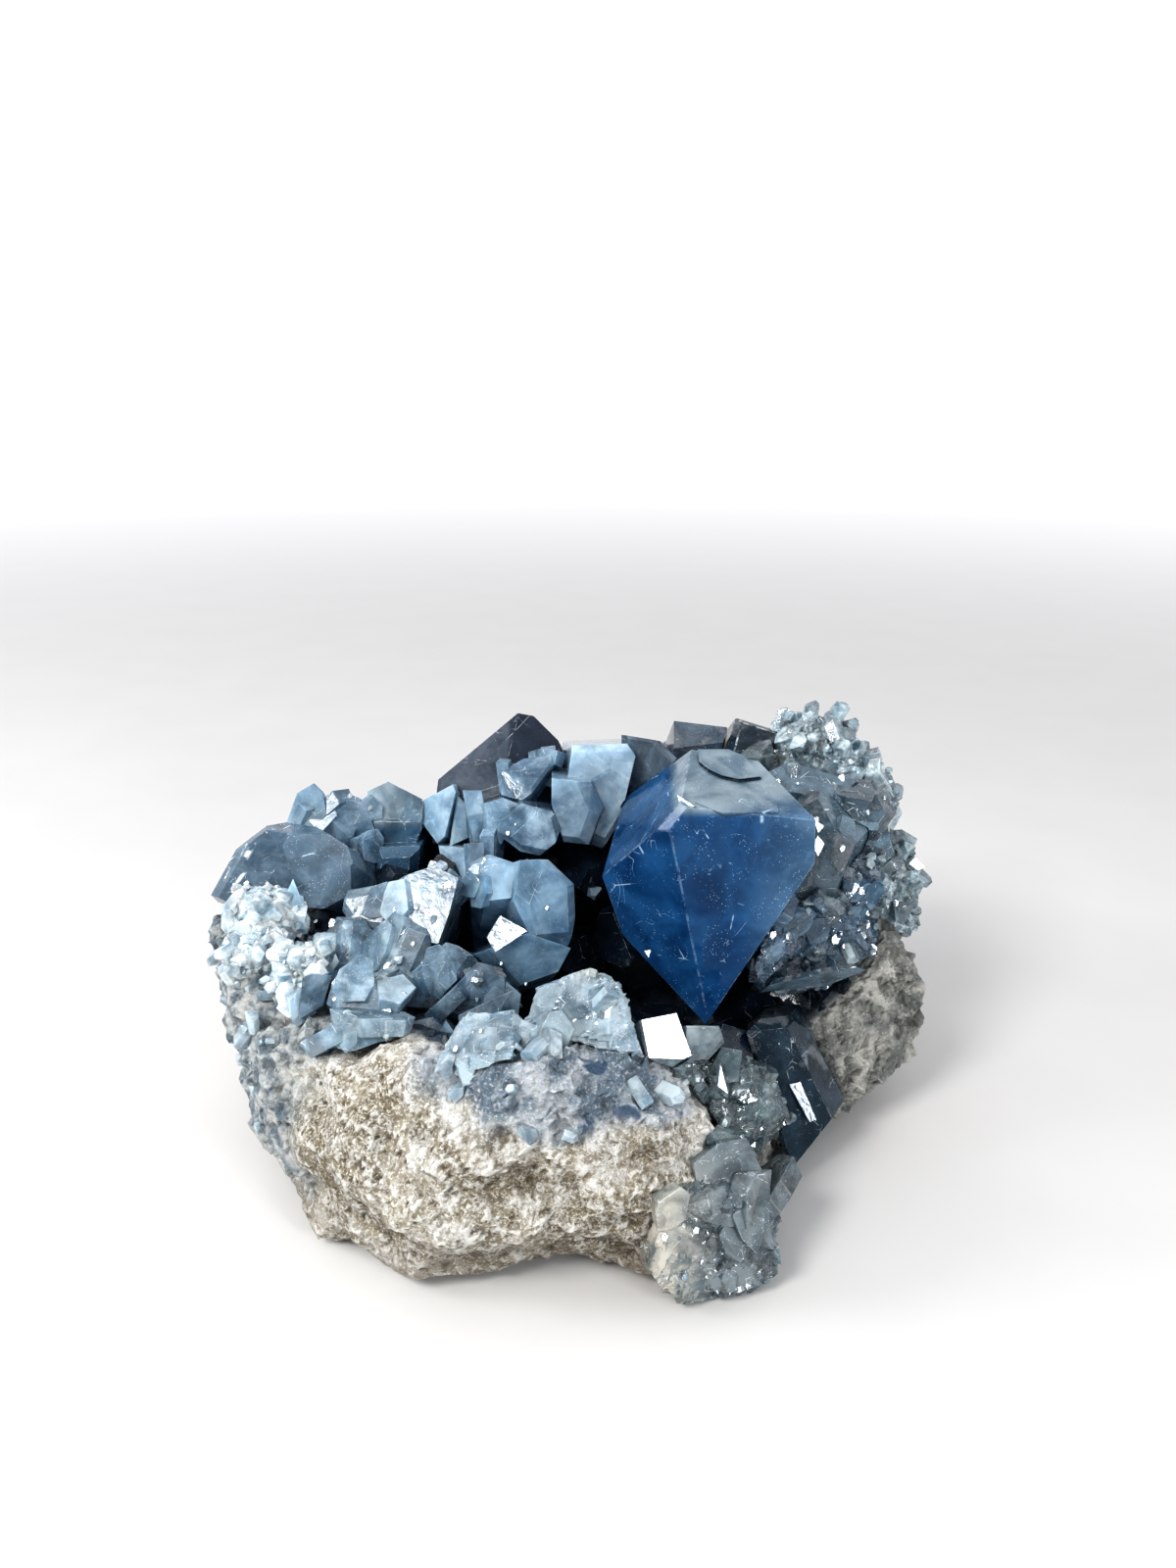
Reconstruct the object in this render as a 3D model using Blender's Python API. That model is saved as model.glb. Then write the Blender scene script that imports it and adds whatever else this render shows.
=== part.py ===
"""A celestite geode, broken open: a limestone rind with blue celestite crystals lining its hollow.

Metres, +Z up, +X to the right of the open side and +Y to the back. The origin is on the resting
plane, below the middle of the stone. Places below are whole millimetres and are scaled once.
"""

import math
import random

import bmesh
import bpy
from mathutils import Matrix, Vector, noise

MM = 0.001
GAP = 0.3  # between two pieces that touch, in mm
REACH = 400.0  # side of the block that each crystal is cut from, in mm
CLEAR_OF_GROUND = 1.0  # the lowest any crystal reaches, in mm
ON_PLANE = 1e-5  # how close to a cutting plane a point counts as on it, in mm
WELD = 0.02  # points closer together than this are one, in mm

# Crystal faces of celestine, as angles in degrees from the axis along which the crystal grew.
PRISM_FACE = 52.0  # round the axis, from the broad face to the slanted prism face
WEDGE_FACE = 38.0  # end faces that slope towards the narrow sides
ROOF_FACE = 51.0  # end faces that slope towards the broad faces
MOST_FLARE = 9.0  # how much a crystal widens towards its root, in degrees

# How far out each kind of face lies, as least and most share of where an even growth would put it.
BROAD_GROWTH = (0.85, 1.1)
NARROW_GROWTH = (0.86, 1.0)
PRISM_GROWTH = (0.86, 1.06)
WEDGE_GROWTH = (0.92, 1.04)
ROOF_GROWTH = (0.98, 1.22)

# The small faces that run along a big face's sides: the share of the sides that have one, its
# least and most slant, and its least and most width as a share of the crystal's edge width.
SMALL_FACES = 0.6
SMALL_SLANT = (0.6, 1.5)
SMALL_WIDTH = (0.4, 1.3)

# The rind, by azimuth from +X in degrees: radius of the flat foot, radius low on the side, radius
# at the belly, radius at the rim, height of the rim, and width of the rim, all in mm.
RIND = {
    0: (52, 76, 87, 84, 42, 16),
    20: (52, 76, 89, 82, 56, 18),
    40: (50, 74, 86, 78, 68, 18),
    62: (46, 68, 82, 75, 76, 18),
    90: (42, 62, 76, 71, 68, 16),
    112: (44, 64, 78, 73, 60, 16),
    135: (46, 68, 82, 78, 58, 18),
    155: (50, 72, 84, 82, 58, 24),
    178: (56, 72, 81, 87, 56, 28),
    205: (60, 74, 80, 77, 45, 22),
    225: (62, 74, 77, 65, 46, 14),
    245: (62, 71, 74, 64, 50, 12),
    268: (44, 58, 71, 64, 54, 12),
    282: (58, 69, 71, 61, 50, 12),
    293: (64, 73, 69, 57, 43, 12),
    306: (60, 67, 64, 53, 31, 12),
    318: (50, 56, 58, 52, 18, 10),
    332: (44, 53, 57, 52, 12, 8),
    346: (52, 62, 68, 64, 26, 10),
}
SIDES = 56  # of the rind, seen from above
HOLLOW = (2.0, 6.0)  # middle of the crystal-lined hollow, seen from above
HOLLOW_FLOOR = 17.0
FOOT_BEND = 4.0  # height at which the flat foot has turned into the side
LUMP = (3.4, 32.0)  # height and width of the rind's large lumps
KNOB = (1.4, 12.0)  # height and width of its small ones
LUMPS_FROM = Vector((7.3, 2.1, 5.7))  # where in the pattern of lumps the rind lies
BODY_MIDDLE = 25.0  # height that the lumps stand out from
BODY_FLATNESS = 0.8  # how much less they stand out upwards than sideways

# The rings of the rind's section. Radii and heights are shares of the sizes in RIND.
FOOT_RINGS = (0.35, 0.7, 1.0)  # radius, as a share of the foot's
UNDER_BELLY = (3.0, 0.25)  # mm inside the belly, and height
SIDE_RINGS = ((0.0, 0.45), (1 / 3, 0.68), (2 / 3, 0.86), (1.0, 0.97))  # way to the rim, height
RIM_RINGS = ((0.3, 1.0), (0.7, 0.99), (1.0, 0.95))  # way across the rim, height
HOLLOW_RINGS = (0.12, 0.26, 0.42, 0.6, 0.8)  # way from the rim to the hollow's middle
HOLLOW_STEEPNESS = 2.2  # 1 is a cone, and more is steeper near the rim

# Colour, roughness, share of light let through, and bending of light.
LIMESTONE = ((0.62, 0.60, 0.56), 0.9, 0.0, 1.5)
CELESTITE = ((0.55, 0.68, 0.82), 0.12, 0.8, 1.62)


def smooth_step(t):
    return t * t * (3 - 2 * t)


def rind_at(azimuth):
    """The six sizes of the rind at any azimuth, smoothly between the stated ones."""
    stations = sorted(RIND)
    low = max((a for a in stations if a <= azimuth), default=stations[-1])
    high = min((a for a in stations if a > azimuth), default=stations[0] + 360)
    t = smooth_step((azimuth - low) / (high - low))
    return [a + (b - a) * t for a, b in zip(RIND[low], RIND[high % 360])]


def rind_profile(azimuth):
    """Points of the rind's section from the foot's middle, over the rim, to the hollow's floor."""
    foot, low, belly, rim, height, lip = rind_at(azimuth)
    across = Vector((math.cos(math.radians(azimuth)), math.sin(math.radians(azimuth)), 0))
    outer = [(foot * share, 0) for share in FOOT_RINGS]
    outer.append((low, FOOT_BEND))
    outer.append((belly - UNDER_BELLY[0], height * UNDER_BELLY[1]))
    outer += [(belly + (rim - belly) * way, height * up) for way, up in SIDE_RINGS]
    outer += [(rim - lip * way, height * up) for way, up in RIM_RINGS]
    points = [across * r + Vector((0, 0, z)) for r, z in outer]
    edge = points[-1]
    floor = Vector((*HOLLOW, HOLLOW_FLOOR))
    for way in HOLLOW_RINGS:
        point = edge.lerp(floor, way)
        point.z = floor.z + (edge.z - floor.z) * (1 - way) ** HOLLOW_STEEPNESS
        points.append(point)
    return points


def rough(point):
    """The point moved as the rind's lumps and knobs move it. The flat foot stays flat."""
    out = Vector((point.x, point.y, (point.z - BODY_MIDDLE) * BODY_FLATNESS)).normalized()
    shift = 0.0
    for height, width in (LUMP, KNOB):
        shift += height * noise.noise(point / width + LUMPS_FROM)
    return point + out * shift * min(1, point.z / FOOT_BEND)


def new_object(name, bm, material, hidden=False):
    """An object from a bmesh in mm, in metres."""
    bmesh.ops.transform(bm, matrix=Matrix.Scale(MM, 4), verts=bm.verts)
    bmesh.ops.recalc_face_normals(bm, faces=bm.faces)
    mesh = bpy.data.meshes.new(name)
    bm.to_mesh(mesh)
    bm.free()
    made = bpy.data.objects.new(name, mesh)
    bpy.context.scene.collection.objects.link(made)
    if material:
        made.data.materials.append(material)
    made.hide_render = hidden
    if hidden:
        made.display_type = "WIRE"
    return made


def make_rind(name, material, spread=0.0, hidden=False):
    """The limestone rind, spread outwards by that many mm."""
    bm = bmesh.new()
    rings = []
    for side in range(SIDES):
        azimuth = 360 * side / SIDES
        rings.append([bm.verts.new(rough(p)) for p in rind_profile(azimuth)])
    under = bm.verts.new((0, 0, 0))
    floor = bm.verts.new(rough(Vector((*HOLLOW, HOLLOW_FLOOR))))
    for ring, following in zip(rings, rings[1:] + rings[:1]):
        bm.faces.new((under, following[0], ring[0]))
        bm.faces.new((floor, ring[-1], following[-1]))
        for i in range(len(ring) - 1):
            bm.faces.new((ring[i], following[i], following[i + 1], ring[i + 1]))
    bmesh.ops.recalc_face_normals(bm, faces=bm.faces)
    if spread:
        moves = [(v, v.normal * spread * v.calc_shell_factor()) for v in bm.verts]
        for vert, move in moves:
            vert.co += move
    bmesh.ops.triangulate(bm, faces=bm.faces)
    return new_object(name, bm, material, hidden)


def grown(root, tip, width, thickness, facing, seed, blunt=0.0):
    """The faces of a crystal with celestine's own habit, as (point, outward direction): where it is
    rooted, where its point is, how wide and thick it is, and which way its broad face looks. The
    seed varies how far out each face lies, as growth does, and blunt cuts that share off its end."""
    root, tip = Vector(root), Vector(tip)
    vary = random.Random(seed)
    length = (tip - root).length
    axis = (tip - root).normalized()
    broad = Vector(facing)
    broad = (broad - axis * broad.dot(axis)).normalized()
    narrow = axis.cross(broad)
    prism, wedge, roof = (math.radians(a) for a in (PRISM_FACE, WEDGE_FACE, ROOF_FACE))
    found = []
    for side in (1, -1):
        found.append((broad * side, thickness / 2 * vary.uniform(*BROAD_GROWTH)))
        found.append((narrow * side, width / 2 * vary.uniform(*NARROW_GROWTH)))
        for turn in (1, -1):
            slant = broad * side * math.cos(prism) + narrow * side * turn * math.sin(prism)
            found.append((slant, width / 2 * math.sin(prism) * vary.uniform(*PRISM_GROWTH)))
        end = axis * math.cos(wedge) + narrow * side * math.sin(wedge)
        found.append((end, length * math.cos(wedge) * vary.uniform(*WEDGE_GROWTH)))
        end = axis * math.cos(roof) + broad * side * math.sin(roof)
        found.append((end, length * math.cos(roof) * vary.uniform(*ROOF_GROWTH)))
    found.append((axis, length * (1 - blunt)))
    found.append((-axis, 0.0))
    return [(root + outward * distance, outward) for outward, distance in found]


def faced(corners, depth, looks, root, seed, edge=2.0):
    """The faces of a crystal that is known by one big face: that face's corners as (x, z), the
    depth y of its middle, the way it looks, and where the crystal is rooted behind it. Small faces
    about as wide as edge run along some of its sides, as the seed has it."""
    vary = random.Random(seed)
    front = Vector(looks).normalized()
    mid_x = sum(x for x, z in corners) / len(corners)
    mid_z = sum(z for x, z in corners) / len(corners)
    middle, root = Vector((mid_x, depth, mid_z)), Vector(root)
    axis = (middle - root).normalized()
    points = []
    for x, z in corners:
        fall = (x - mid_x) * front.x + (z - mid_z) * front.z
        points.append(Vector((x, depth - fall / front.y, z)))
    found = [(middle, front), (root, -axis)]
    for point, following in zip(points, points[1:] + points[:1]):
        half_way = (point + following) / 2
        outward = (following - point).cross(axis).normalized()
        if outward.dot(half_way - middle) < 0:
            outward = -outward
        flare = math.tan(math.radians(vary.uniform(0, MOST_FLARE)))
        outward = (outward + axis * flare).normalized()
        found.append((point, outward))
        if vary.random() < SMALL_FACES:
            slant = (front + outward * vary.uniform(*SMALL_SLANT)).normalized()
            width = edge * vary.uniform(*SMALL_WIDTH)
            found.append((half_way - (front + outward) * width / 2, slant))
    return found


def cut_from_block(planes, middle):
    """A bmesh of the space inside all the planes."""
    bm = bmesh.new()
    bmesh.ops.create_cube(bm, size=REACH, matrix=Matrix.Translation(middle))
    for point, outward in planes:
        every = bm.verts[:] + bm.edges[:] + bm.faces[:]
        bmesh.ops.bisect_plane(
            bm, geom=every, dist=ON_PLANE, plane_co=point, plane_no=outward, clear_outer=True
        )
        rim = [e for e in bm.edges if e.is_boundary]
        if rim:
            bmesh.ops.holes_fill(bm, edges=rim, sides=0)
    bmesh.ops.remove_doubles(bm, verts=bm.verts, dist=WELD)
    return bm


def crystal_object(name, faces, material, spread=0.0, hidden=False):
    """One crystal from its faces, each moved outwards by spread mm."""
    middle = sum((Vector(point) for point, outward in faces), Vector()) / len(faces)
    planes = []
    for point, outward in faces:
        outward = Vector(outward).normalized()
        planes.append((Vector(point) + outward * spread, outward))
    planes.append((Vector((0, 0, CLEAR_OF_GROUND - spread)), Vector((0, 0, -1))))
    return new_object(name, cut_from_block(planes, middle), material, hidden)


def box_of(made):
    corners = [made.matrix_world @ Vector(c) for c in made.bound_box]
    return [(min(c[i] for c in corners), max(c[i] for c in corners)) for i in range(3)]


def near(box, other):
    return all(a[0] < b[1] and b[0] < a[1] for a, b in zip(box, other))


def combine(made, other, operation):
    """Applies one Boolean with other to made, and leaves made a plain mesh."""
    modifier = made.modifiers.new("cut", "BOOLEAN")
    modifier.operation, modifier.object, modifier.solver = operation, other, "EXACT"
    graph = bpy.context.evaluated_depsgraph_get()
    mesh = bpy.data.meshes.new_from_object(made.evaluated_get(graph))
    made.modifiers.clear()
    old, made.data = made.data, mesh
    bpy.data.meshes.remove(old)
    mesh.name = made.name


def keep_largest_island(made):
    """Drops chips that a cut has left loose, and faces too thin to matter."""
    bm = bmesh.new()
    bm.from_mesh(made.data)
    bmesh.ops.remove_doubles(bm, verts=bm.verts, dist=WELD * MM)
    bmesh.ops.dissolve_degenerate(bm, edges=bm.edges, dist=WELD * MM)
    left, islands = set(bm.verts), []
    while left:
        island, edge = set(), [left.pop()]
        while edge:
            vert = edge.pop()
            island.add(vert)
            for link in vert.link_edges:
                other = link.other_vert(vert)
                if other in left:
                    left.discard(other)
                    edge.append(other)
        islands.append(island)
    islands.sort(key=len)
    for island in islands[:-1]:
        bmesh.ops.delete(bm, geom=list(island), context="VERTS")
    bm.to_mesh(made.data)
    bm.free()


def principled(name, colour, roughness, see_through, bending):
    """A material with one colour. bending is how much it bends light."""
    material = bpy.data.materials.new(name)
    material.use_nodes = True
    shader = material.node_tree.nodes["Principled BSDF"]
    shader.inputs["Base Color"].default_value = (*colour, 1)
    shader.inputs["Roughness"].default_value = roughness
    shader.inputs["Transmission Weight"].default_value = see_through
    shader.inputs["IOR"].default_value = bending
    return material


VIEWER = (0.0, -1.0, 0.6)  # towards whoever looks into the open side

# The crystals that are known face by face: a point on each face, and the way the face looks.
GREAT_CRYSTAL = [
    ((31, -20, 88), (0.0, -1.0, 0.08)),
    ((30.9, -23.9, 38.8), (-0.58, -0.82, -0.056)),
    ((25.9, -20.1, 88.9), (-0.62, -0.60, 0.51)),
    ((31, -20, 88), (0.10, -0.17, 0.98)),
    ((20, -16, 84), (-0.78, 0.04, 0.62)),
    ((10, -9, 60), (-0.90, 0.20, -0.35)),
    ((22, -17, 45), (-0.52, 0.29, -0.80)),
    ((53, -20, 80), (0.93, 0.36, 0.0)),
    ((32, -23.9, 39.7), (0.86, -0.20, -0.49)),
    ((36, 5, 92), (0.20, 0.75, 0.63)),
    ((40, 40, 60), (0.30, 0.95, 0.0)),
]

SMOKY_PEAK = [
    ((-14, 46, 91), (-0.24, -0.70, 0.67)),
    ((-14, 46, 91), (0.37, -0.75, 0.54)),
    ((-28, 40, 80), (-0.65, 0.35, 0.68)),
    ((-12, 45, 90), (0.05, 0.60, 0.80)),
    ((-8, 43, 88), (0.68, 0.35, 0.62)),
    ((-4, 43, 83), (0.90, 0.10, 0.40)),
    ((-20, 62, 80), (0.0, 1.0, 0.30)),
    ((-18, 50, 58), (0.0, 0.0, -1.0)),
    ((-36, 44, 70), (-1.0, 0.0, 0.10)),
    ((-20, 32, 70), (0.0, -1.0, 0.0)),
]

LEFT_PEAK = [
    ((-46, 31, 72), (0.10, -0.75, 0.65)),
    ((-45, 26, 63), (0.10, -1.0, 0.10)),
    ((-51, 32, 74), (-0.48, 0.48, 0.74)),
    ((-45, 32, 74), (0.46, 0.48, 0.75)),
    ((-39, 28, 68), (0.98, -0.10, 0.0)),
    ((-41, 26, 60), (0.90, -0.10, -0.40)),
    ((-46, 25, 53), (0.60, 0.0, -0.80)),
    ((-52, 30, 68), (-0.95, -0.10, -0.25)),
    ((-45, 56, 70), (0.0, 1.0, 0.20)),
]

# Each group's crystals have grown into each other. A group is one solid.
GROUPS = {
    "great_crystal": [GREAT_CRYSTAL],
    "right_slab": [
        faced([(45, 86), (55, 88), (70, 84), (62, 81), (49, 83)], 8,
              (0.15, -0.45, 0.88), (58, 34, 54), 1),
        grown((62, 30, 42), (50, -8, 78), 38, 32, (0.2, -0.6, 0.8), 2, 0.06),
    ],
    "right_block": [
        faced([(66, 84), (76, 82), (78, 78), (74, 75), (60, 77), (61, 82)], 4,
              (0.3, -0.7, 0.65), (66, 30, 48), 3),
        faced([(64, 76), (78, 73), (79, 68), (74, 66), (63, 70)], 4,
              (0.3, -0.8, 0.5), (66, 28, 50), 4),
    ],
    "right_companion": [
        faced([(46, 58), (56, 64), (65, 54), (70, 45), (62, 38), (45, 37), (42, 43)], -12,
              (0.15, -0.97, -0.15), (64, 18, 46), 5),
        faced([(58, 69), (65, 71), (72, 69), (73, 63), (68, 54), (64, 53), (58, 61)], -6,
              (0.1, -0.95, 0.2), (68, 22, 50), 6),
        faced([(47, 65), (53, 57), (49, 50), (43, 45), (41, 50), (44, 58)], -19,
              (0.25, -0.95, 0.1), (60, 16, 50), 84, 1.2),
    ],
    "right_rim": [
        faced([(74, 59), (84, 60), (86, 54), (83, 51), (75, 52)], 8,
              (0.5, -0.8, 0.3), (66, 30, 46), 7),
        faced([(78, 50), (85, 51), (89, 46), (88, 42), (82, 43)], 10,
              (0.6, -0.8, 0.2), (68, 28, 40), 8),
        faced([(81, 69), (88, 60), (89, 58), (86, 56), (79, 62)], 12,
              (0.6, -0.7, 0.4), (66, 32, 48), 9),
    ],
    "back_prism": [
        faced([(43, 91), (52, 88), (55, 84), (47, 82), (40, 84)], 36,
              (0.2, -0.7, 0.65), (48, 60, 64), 10),
    ],
    "back_rim": [
        grown((56, 50, 54), (61, 38, 93), 22, 20, VIEWER, 11),
        grown((62, 44, 52), (70, 34, 92), 20, 18, VIEWER, 12),
        grown((68, 36, 48), (78, 28, 83), 20, 18, VIEWER, 13),
    ],
    "behind_great": [
        grown((46, 54, 48), (45, 22, 84), 30, 28, VIEWER, 76, 0.05),
        grown((58, 46, 52), (57, 22, 82), 24, 22, VIEWER, 77, 0.05),
    ],
    "back_block": [
        faced([(26, 91), (40, 89), (38, 83), (26, 82)], 34, (0.1, -0.9, 0.35), (32, 60, 66), 14),
        faced([(12, 88), (22, 87), (26, 83), (22, 73), (13, 63)], 30,
              (-0.2, -0.95, 0.2), (24, 58, 62), 15),
    ],
    "smoky_peak": [SMOKY_PEAK],
    "blue_block": [
        faced([(0, 87), (14, 87), (16, 84), (12, 68), (8, 62), (-3, 67)], 24, (0.1, -0.95, 0.3),
              (6, 58, 64), 16),
        faced([(-5, 82), (4, 80), (7, 73), (4, 65), (-2, 66), (-5, 75)], 16, (0.2, -0.95, 0.2),
              (2, 52, 62), 17),
    ],
    "deep_wall": [
        grown((6, 54, 42), (2, 18, 54), 26, 24, VIEWER, 18),
        grown((20, 52, 44), (16, 20, 58), 22, 20, VIEWER, 19),
        grown((-12, 52, 42), (-10, 18, 52), 22, 20, VIEWER, 20),
    ],
    "pale_cluster": [
        faced([(-18, 80), (-13, 83), (-6, 84), (-5, 82), (-10, 76), (-13, 74), (-18, 75)], 26,
              (-0.1, -0.8, 0.6), (-10, 56, 62), 21),
        faced([(-18, 71), (-12, 76), (-4, 74), (-3, 70), (-4, 67), (-8, 64), (-13, 65), (-17, 68)], 12,
              (0.0, -0.95, 0.3), (-10, 50, 58), 22),
        faced([(-25, 73), (-18, 76), (-13, 75), (-18, 65), (-24, 66)], 18, (-0.3, -0.9, 0.3),
              (-20, 50, 56), 23),
        faced([(-27, 66), (-19, 66), (-19, 56), (-26, 56)], 11,
              (0.1, -0.85, 0.45), (-22, 40, 46), 83),
    ],
    "pale_plate": [
        faced([(-40, 70), (-31, 76), (-30, 74), (-33, 63), (-35, 61), (-39, 65)], 28,
              (-0.4, -0.85, 0.35), (-32, 56, 54), 24, 1.2),
        faced([(-30, 73), (-26, 68), (-26, 62), (-32, 60)], 28,
              (0.35, -0.9, 0.2), (-28, 54, 54), 25, 1.2),
        faced([(-34, 62), (-26, 62), (-25, 54), (-32, 52)], 18,
              (-0.15, -0.9, 0.35), (-30, 46, 48), 82),
    ],
    "left_peak": [
        LEFT_PEAK,
        faced([(-49, 62), (-39, 62), (-40, 52), (-46, 48), (-51, 53)], 18, (0.1, -0.95, 0.15),
              (-46, 44, 50), 80),
    ],
    "left_ridge": [
        faced([(-71, 68), (-60, 75), (-55, 74), (-56, 69), (-58, 65), (-64, 65)], 24,
              (-0.1, -0.85, 0.5), (-56, 42, 42), 27),
        faced([(-57, 71), (-52, 74), (-49, 71), (-49, 66), (-58, 63)], 26, (0.1, -0.9, 0.4),
              (-50, 46, 44), 28),
        faced([(-57, 64), (-50, 67), (-48, 59), (-52, 56), (-57, 54)], 20, (0.0, -0.95, 0.2),
              (-52, 44, 42), 29),
        faced([(-61, 62), (-50, 62), (-50, 50), (-58, 48)], 17,
              (0.0, -0.9, 0.3), (-54, 42, 44), 81),
    ],
    "left_dome": [
        faced([(-87, 59), (-82, 68), (-74, 73), (-63, 71), (-57, 68), (-54, 64), (-55, 59), (-62, 56),
               (-79, 56)], 6, (0.05, -0.7, 0.7), (-60, 28, 40), 30, 3.0),
    ],
    "left_spikes": [
        grown((-70, 6, 44), (-66, -8, 62), 10, 7, VIEWER, 31),
        grown((-76, 6, 44), (-74, -4, 60), 8, 5, VIEWER, 32),
    ],
    "middle_block": [
        faced([(-12, 70), (-5, 70), (1, 64), (1, 55), (0, 51), (-8, 51), (-13, 61)], -8,
              (0.15, -0.95, 0.3), (-16, 24, 38), 33),
        faced([(-24, 68), (-20, 70), (-12, 68), (-13, 61), (-20, 60), (-24, 63)], -4,
              (-0.1, -0.85, 0.5), (-20, 22, 38), 34),
        faced([(-21, 54), (-10, 59), (0, 54), (-3, 48), (-12, 45), (-16, 47)], -20,
              (0.1, -0.95, -0.1), (-16, 10, 32), 35),
    ],
    "lit_crystals": [
        faced([(-41, 65), (-32, 68), (-26, 66), (-28, 59), (-30, 54), (-43, 55)], -10,
              (-0.1, -0.75, 0.65), (-36, 16, 38), 36),
        faced([(-53, 61), (-41, 64), (-43, 54), (-51, 54), (-54, 57)], -6, (-0.2, -0.75, 0.6),
              (-48, 18, 40), 37),
        grown((-40, 8, 30), (-38, -22, 54), 20, 18, VIEWER, 38, 0.06),
        grown((-52, 4, 34), (-52, -16, 54), 18, 16, VIEWER, 39, 0.06),
    ],
    "dark_middle": [
        faced([(-28, 60), (-24, 60), (-20, 58), (-29, 45), (-36, 44), (-37, 50)], -28,
              (-0.35, -0.9, 0.2), (-28, 0, 26), 40),
        faced([(-20, 57), (-15, 55), (-12, 50), (-12, 46), (-22, 47), (-28, 49)], -32,
              (0.3, -0.85, 0.4), (-24, -4, 24), 41),
        faced([(-36, 47), (-29, 48), (-22, 43), (-23, 38), (-36, 38)], -41, (0.1, -0.9, 0.4),
              (-28, -10, 26), 42),
    ],
    "left_wall_crystals": [
        faced([(-50, 56), (-42, 56), (-35, 53), (-36, 49), (-47, 49), (-51, 52)], -38,
              (0.0, -0.8, 0.6), (-48, -12, 32), 43),
        faced([(-51, 48), (-46, 52), (-35, 51), (-35, 45), (-43, 44)], -46, (0.1, -0.9, 0.3),
              (-46, -16, 30), 44),
        faced([(-56, 54), (-51, 55), (-53, 48), (-59, 46)], -34,
              (0.5, -0.8, 0.2), (-54, -10, 34), 45, 1.0),
    ],
    "left_rim_crust": [
        faced([(-64, 56), (-54, 58), (-55, 53), (-63, 51)], -26,
              (-0.3, -0.8, 0.5), (-62, -6, 38), 46, 1.2),
        faced([(-67, 51), (-59, 53), (-59, 47), (-63, 42)], -32,
              (-0.5, -0.8, 0.3), (-62, -10, 36), 47, 1.2),
        grown((-72, 4, 40), (-72, -14, 60), 20, 18, VIEWER, 48),
        grown((-70, -4, 38), (-72, -22, 56), 18, 18, VIEWER, 49),
    ],
    "left_edge_crust": [
        grown((-68, 10, 42), (-79, -4, 60), 20, 18, VIEWER, 50),
        grown((-66, -2, 36), (-76, -14, 54), 18, 18, VIEWER, 51),
    ],
    "front_knob": [
        faced([(-7, 63), (2, 66), (9, 65), (12, 60), (14, 52), (4, 46), (-4, 47), (-9, 55)], -54,
              (0.0, -0.85, 0.5), (2, -44, 20), 52, 3.0),
        faced([(9, 64), (12, 59), (16, 48), (13, 44), (7, 49), (5, 60)], -53, (0.6, -0.75, 0.2),
              (8, -44, 22), 53),
        grown((-14, -48, 24), (-16, -57, 57), 22, 18, VIEWER, 54, 0.08),
    ],
    "mirror_crystal": [
        faced([(14, 54), (22, 54), (25, 46), (21, 45), (16, 46)], -50, (0.3, -0.85, 0.45),
              (18, -30, 30), 55, 0.8),
        faced([(24, 51), (31, 50), (32, 46), (29, 43), (24, 43)], -46, (0.2, -0.95, 0.1),
              (24, -28, 30), 56, 1.0),
    ],
    "front_grey_crystals": [
        faced([(26, 43), (34, 42), (42, 38), (46, 29), (39, 23), (33, 25), (27, 35)], -46,
              (0.2, -0.9, 0.35), (36, -24, 14), 57),
        faced([(16, 46), (25, 46), (28, 41), (25, 37), (17, 38)], -52, (-0.1, -0.9, 0.3),
              (26, -32, 22), 58, 1.2),
        faced([(18, 40), (25, 39), (29, 32), (27, 26), (20, 31)], -54, (0.0, -0.95, 0.2),
              (26, -34, 18), 59, 1.2),
    ],
    "tall_right_crystal": [
        faced([(39, 36), (43, 38), (50, 37), (56, 31), (63, 17), (49, 6), (42, 28)], -26,
              (0.35, -0.85, 0.4), (56, 6, 12), 60),
        faced([(56, 28), (61, 31), (64, 30), (66, 25), (64, 20), (58, 20)], -6, (0.0, -0.9, 0.4),
              (62, 18, 18), 61),
    ],
    "front_blue_chunk": [
        faced([(27, 33), (37, 29), (42, 18), (35, 13), (25, 22)], -58, (0.3, -0.9, 0.3),
              (24, -32, 16), 62),
    ],
    "corner_chunk": [
        faced([(20, 27), (32, 24), (39, 20), (43, 13), (42, 4), (37, 0), (24, 0), (16, 12)], -68,
              (0.28, -0.95, 0.12), (22, -32, 10), 63, 3.0),
        grown((24, -40, 8), (28, -71, 20), 18, 16, VIEWER, 78, 0.1),
        grown((32, -36, 6), (38, -62, 14), 18, 16, VIEWER, 79, 0.1),
    ],
    "hollow_back": [
        grown((18, 30, 20), (14, 4, 48), 22, 18, VIEWER, 64),
        grown((4, 28, 18), (2, 6, 42), 18, 16, VIEWER, 65),
        grown((32, 28, 22), (30, 4, 42), 20, 18, VIEWER, 66),
    ],
    "hollow_front": [
        grown((10, 0, 14), (8, -18, 38), 18, 16, VIEWER, 67),
        grown((22, -2, 14), (22, -18, 34), 18, 16, VIEWER, 68),
        grown((-6, 0, 16), (-4, -18, 36), 16, 14, VIEWER, 69),
    ],
    "hollow_right": [
        grown((46, 10, 14), (42, -10, 30), 20, 18, VIEWER, 70),
        grown((56, 14, 16), (56, -6, 34), 20, 18, VIEWER, 71),
        grown((38, 0, 10), (34, -30, 34), 16, 14, VIEWER, 72),
    ],
    "hollow_left": [
        grown((-34, 36, 40), (-30, 12, 56), 20, 18, VIEWER, 73),
        grown((-46, 32, 38), (-44, 12, 56), 18, 16, VIEWER, 74),
        grown((-24, 30, 34), (-18, 10, 50), 18, 16, VIEWER, 75),
    ],
}


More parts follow.
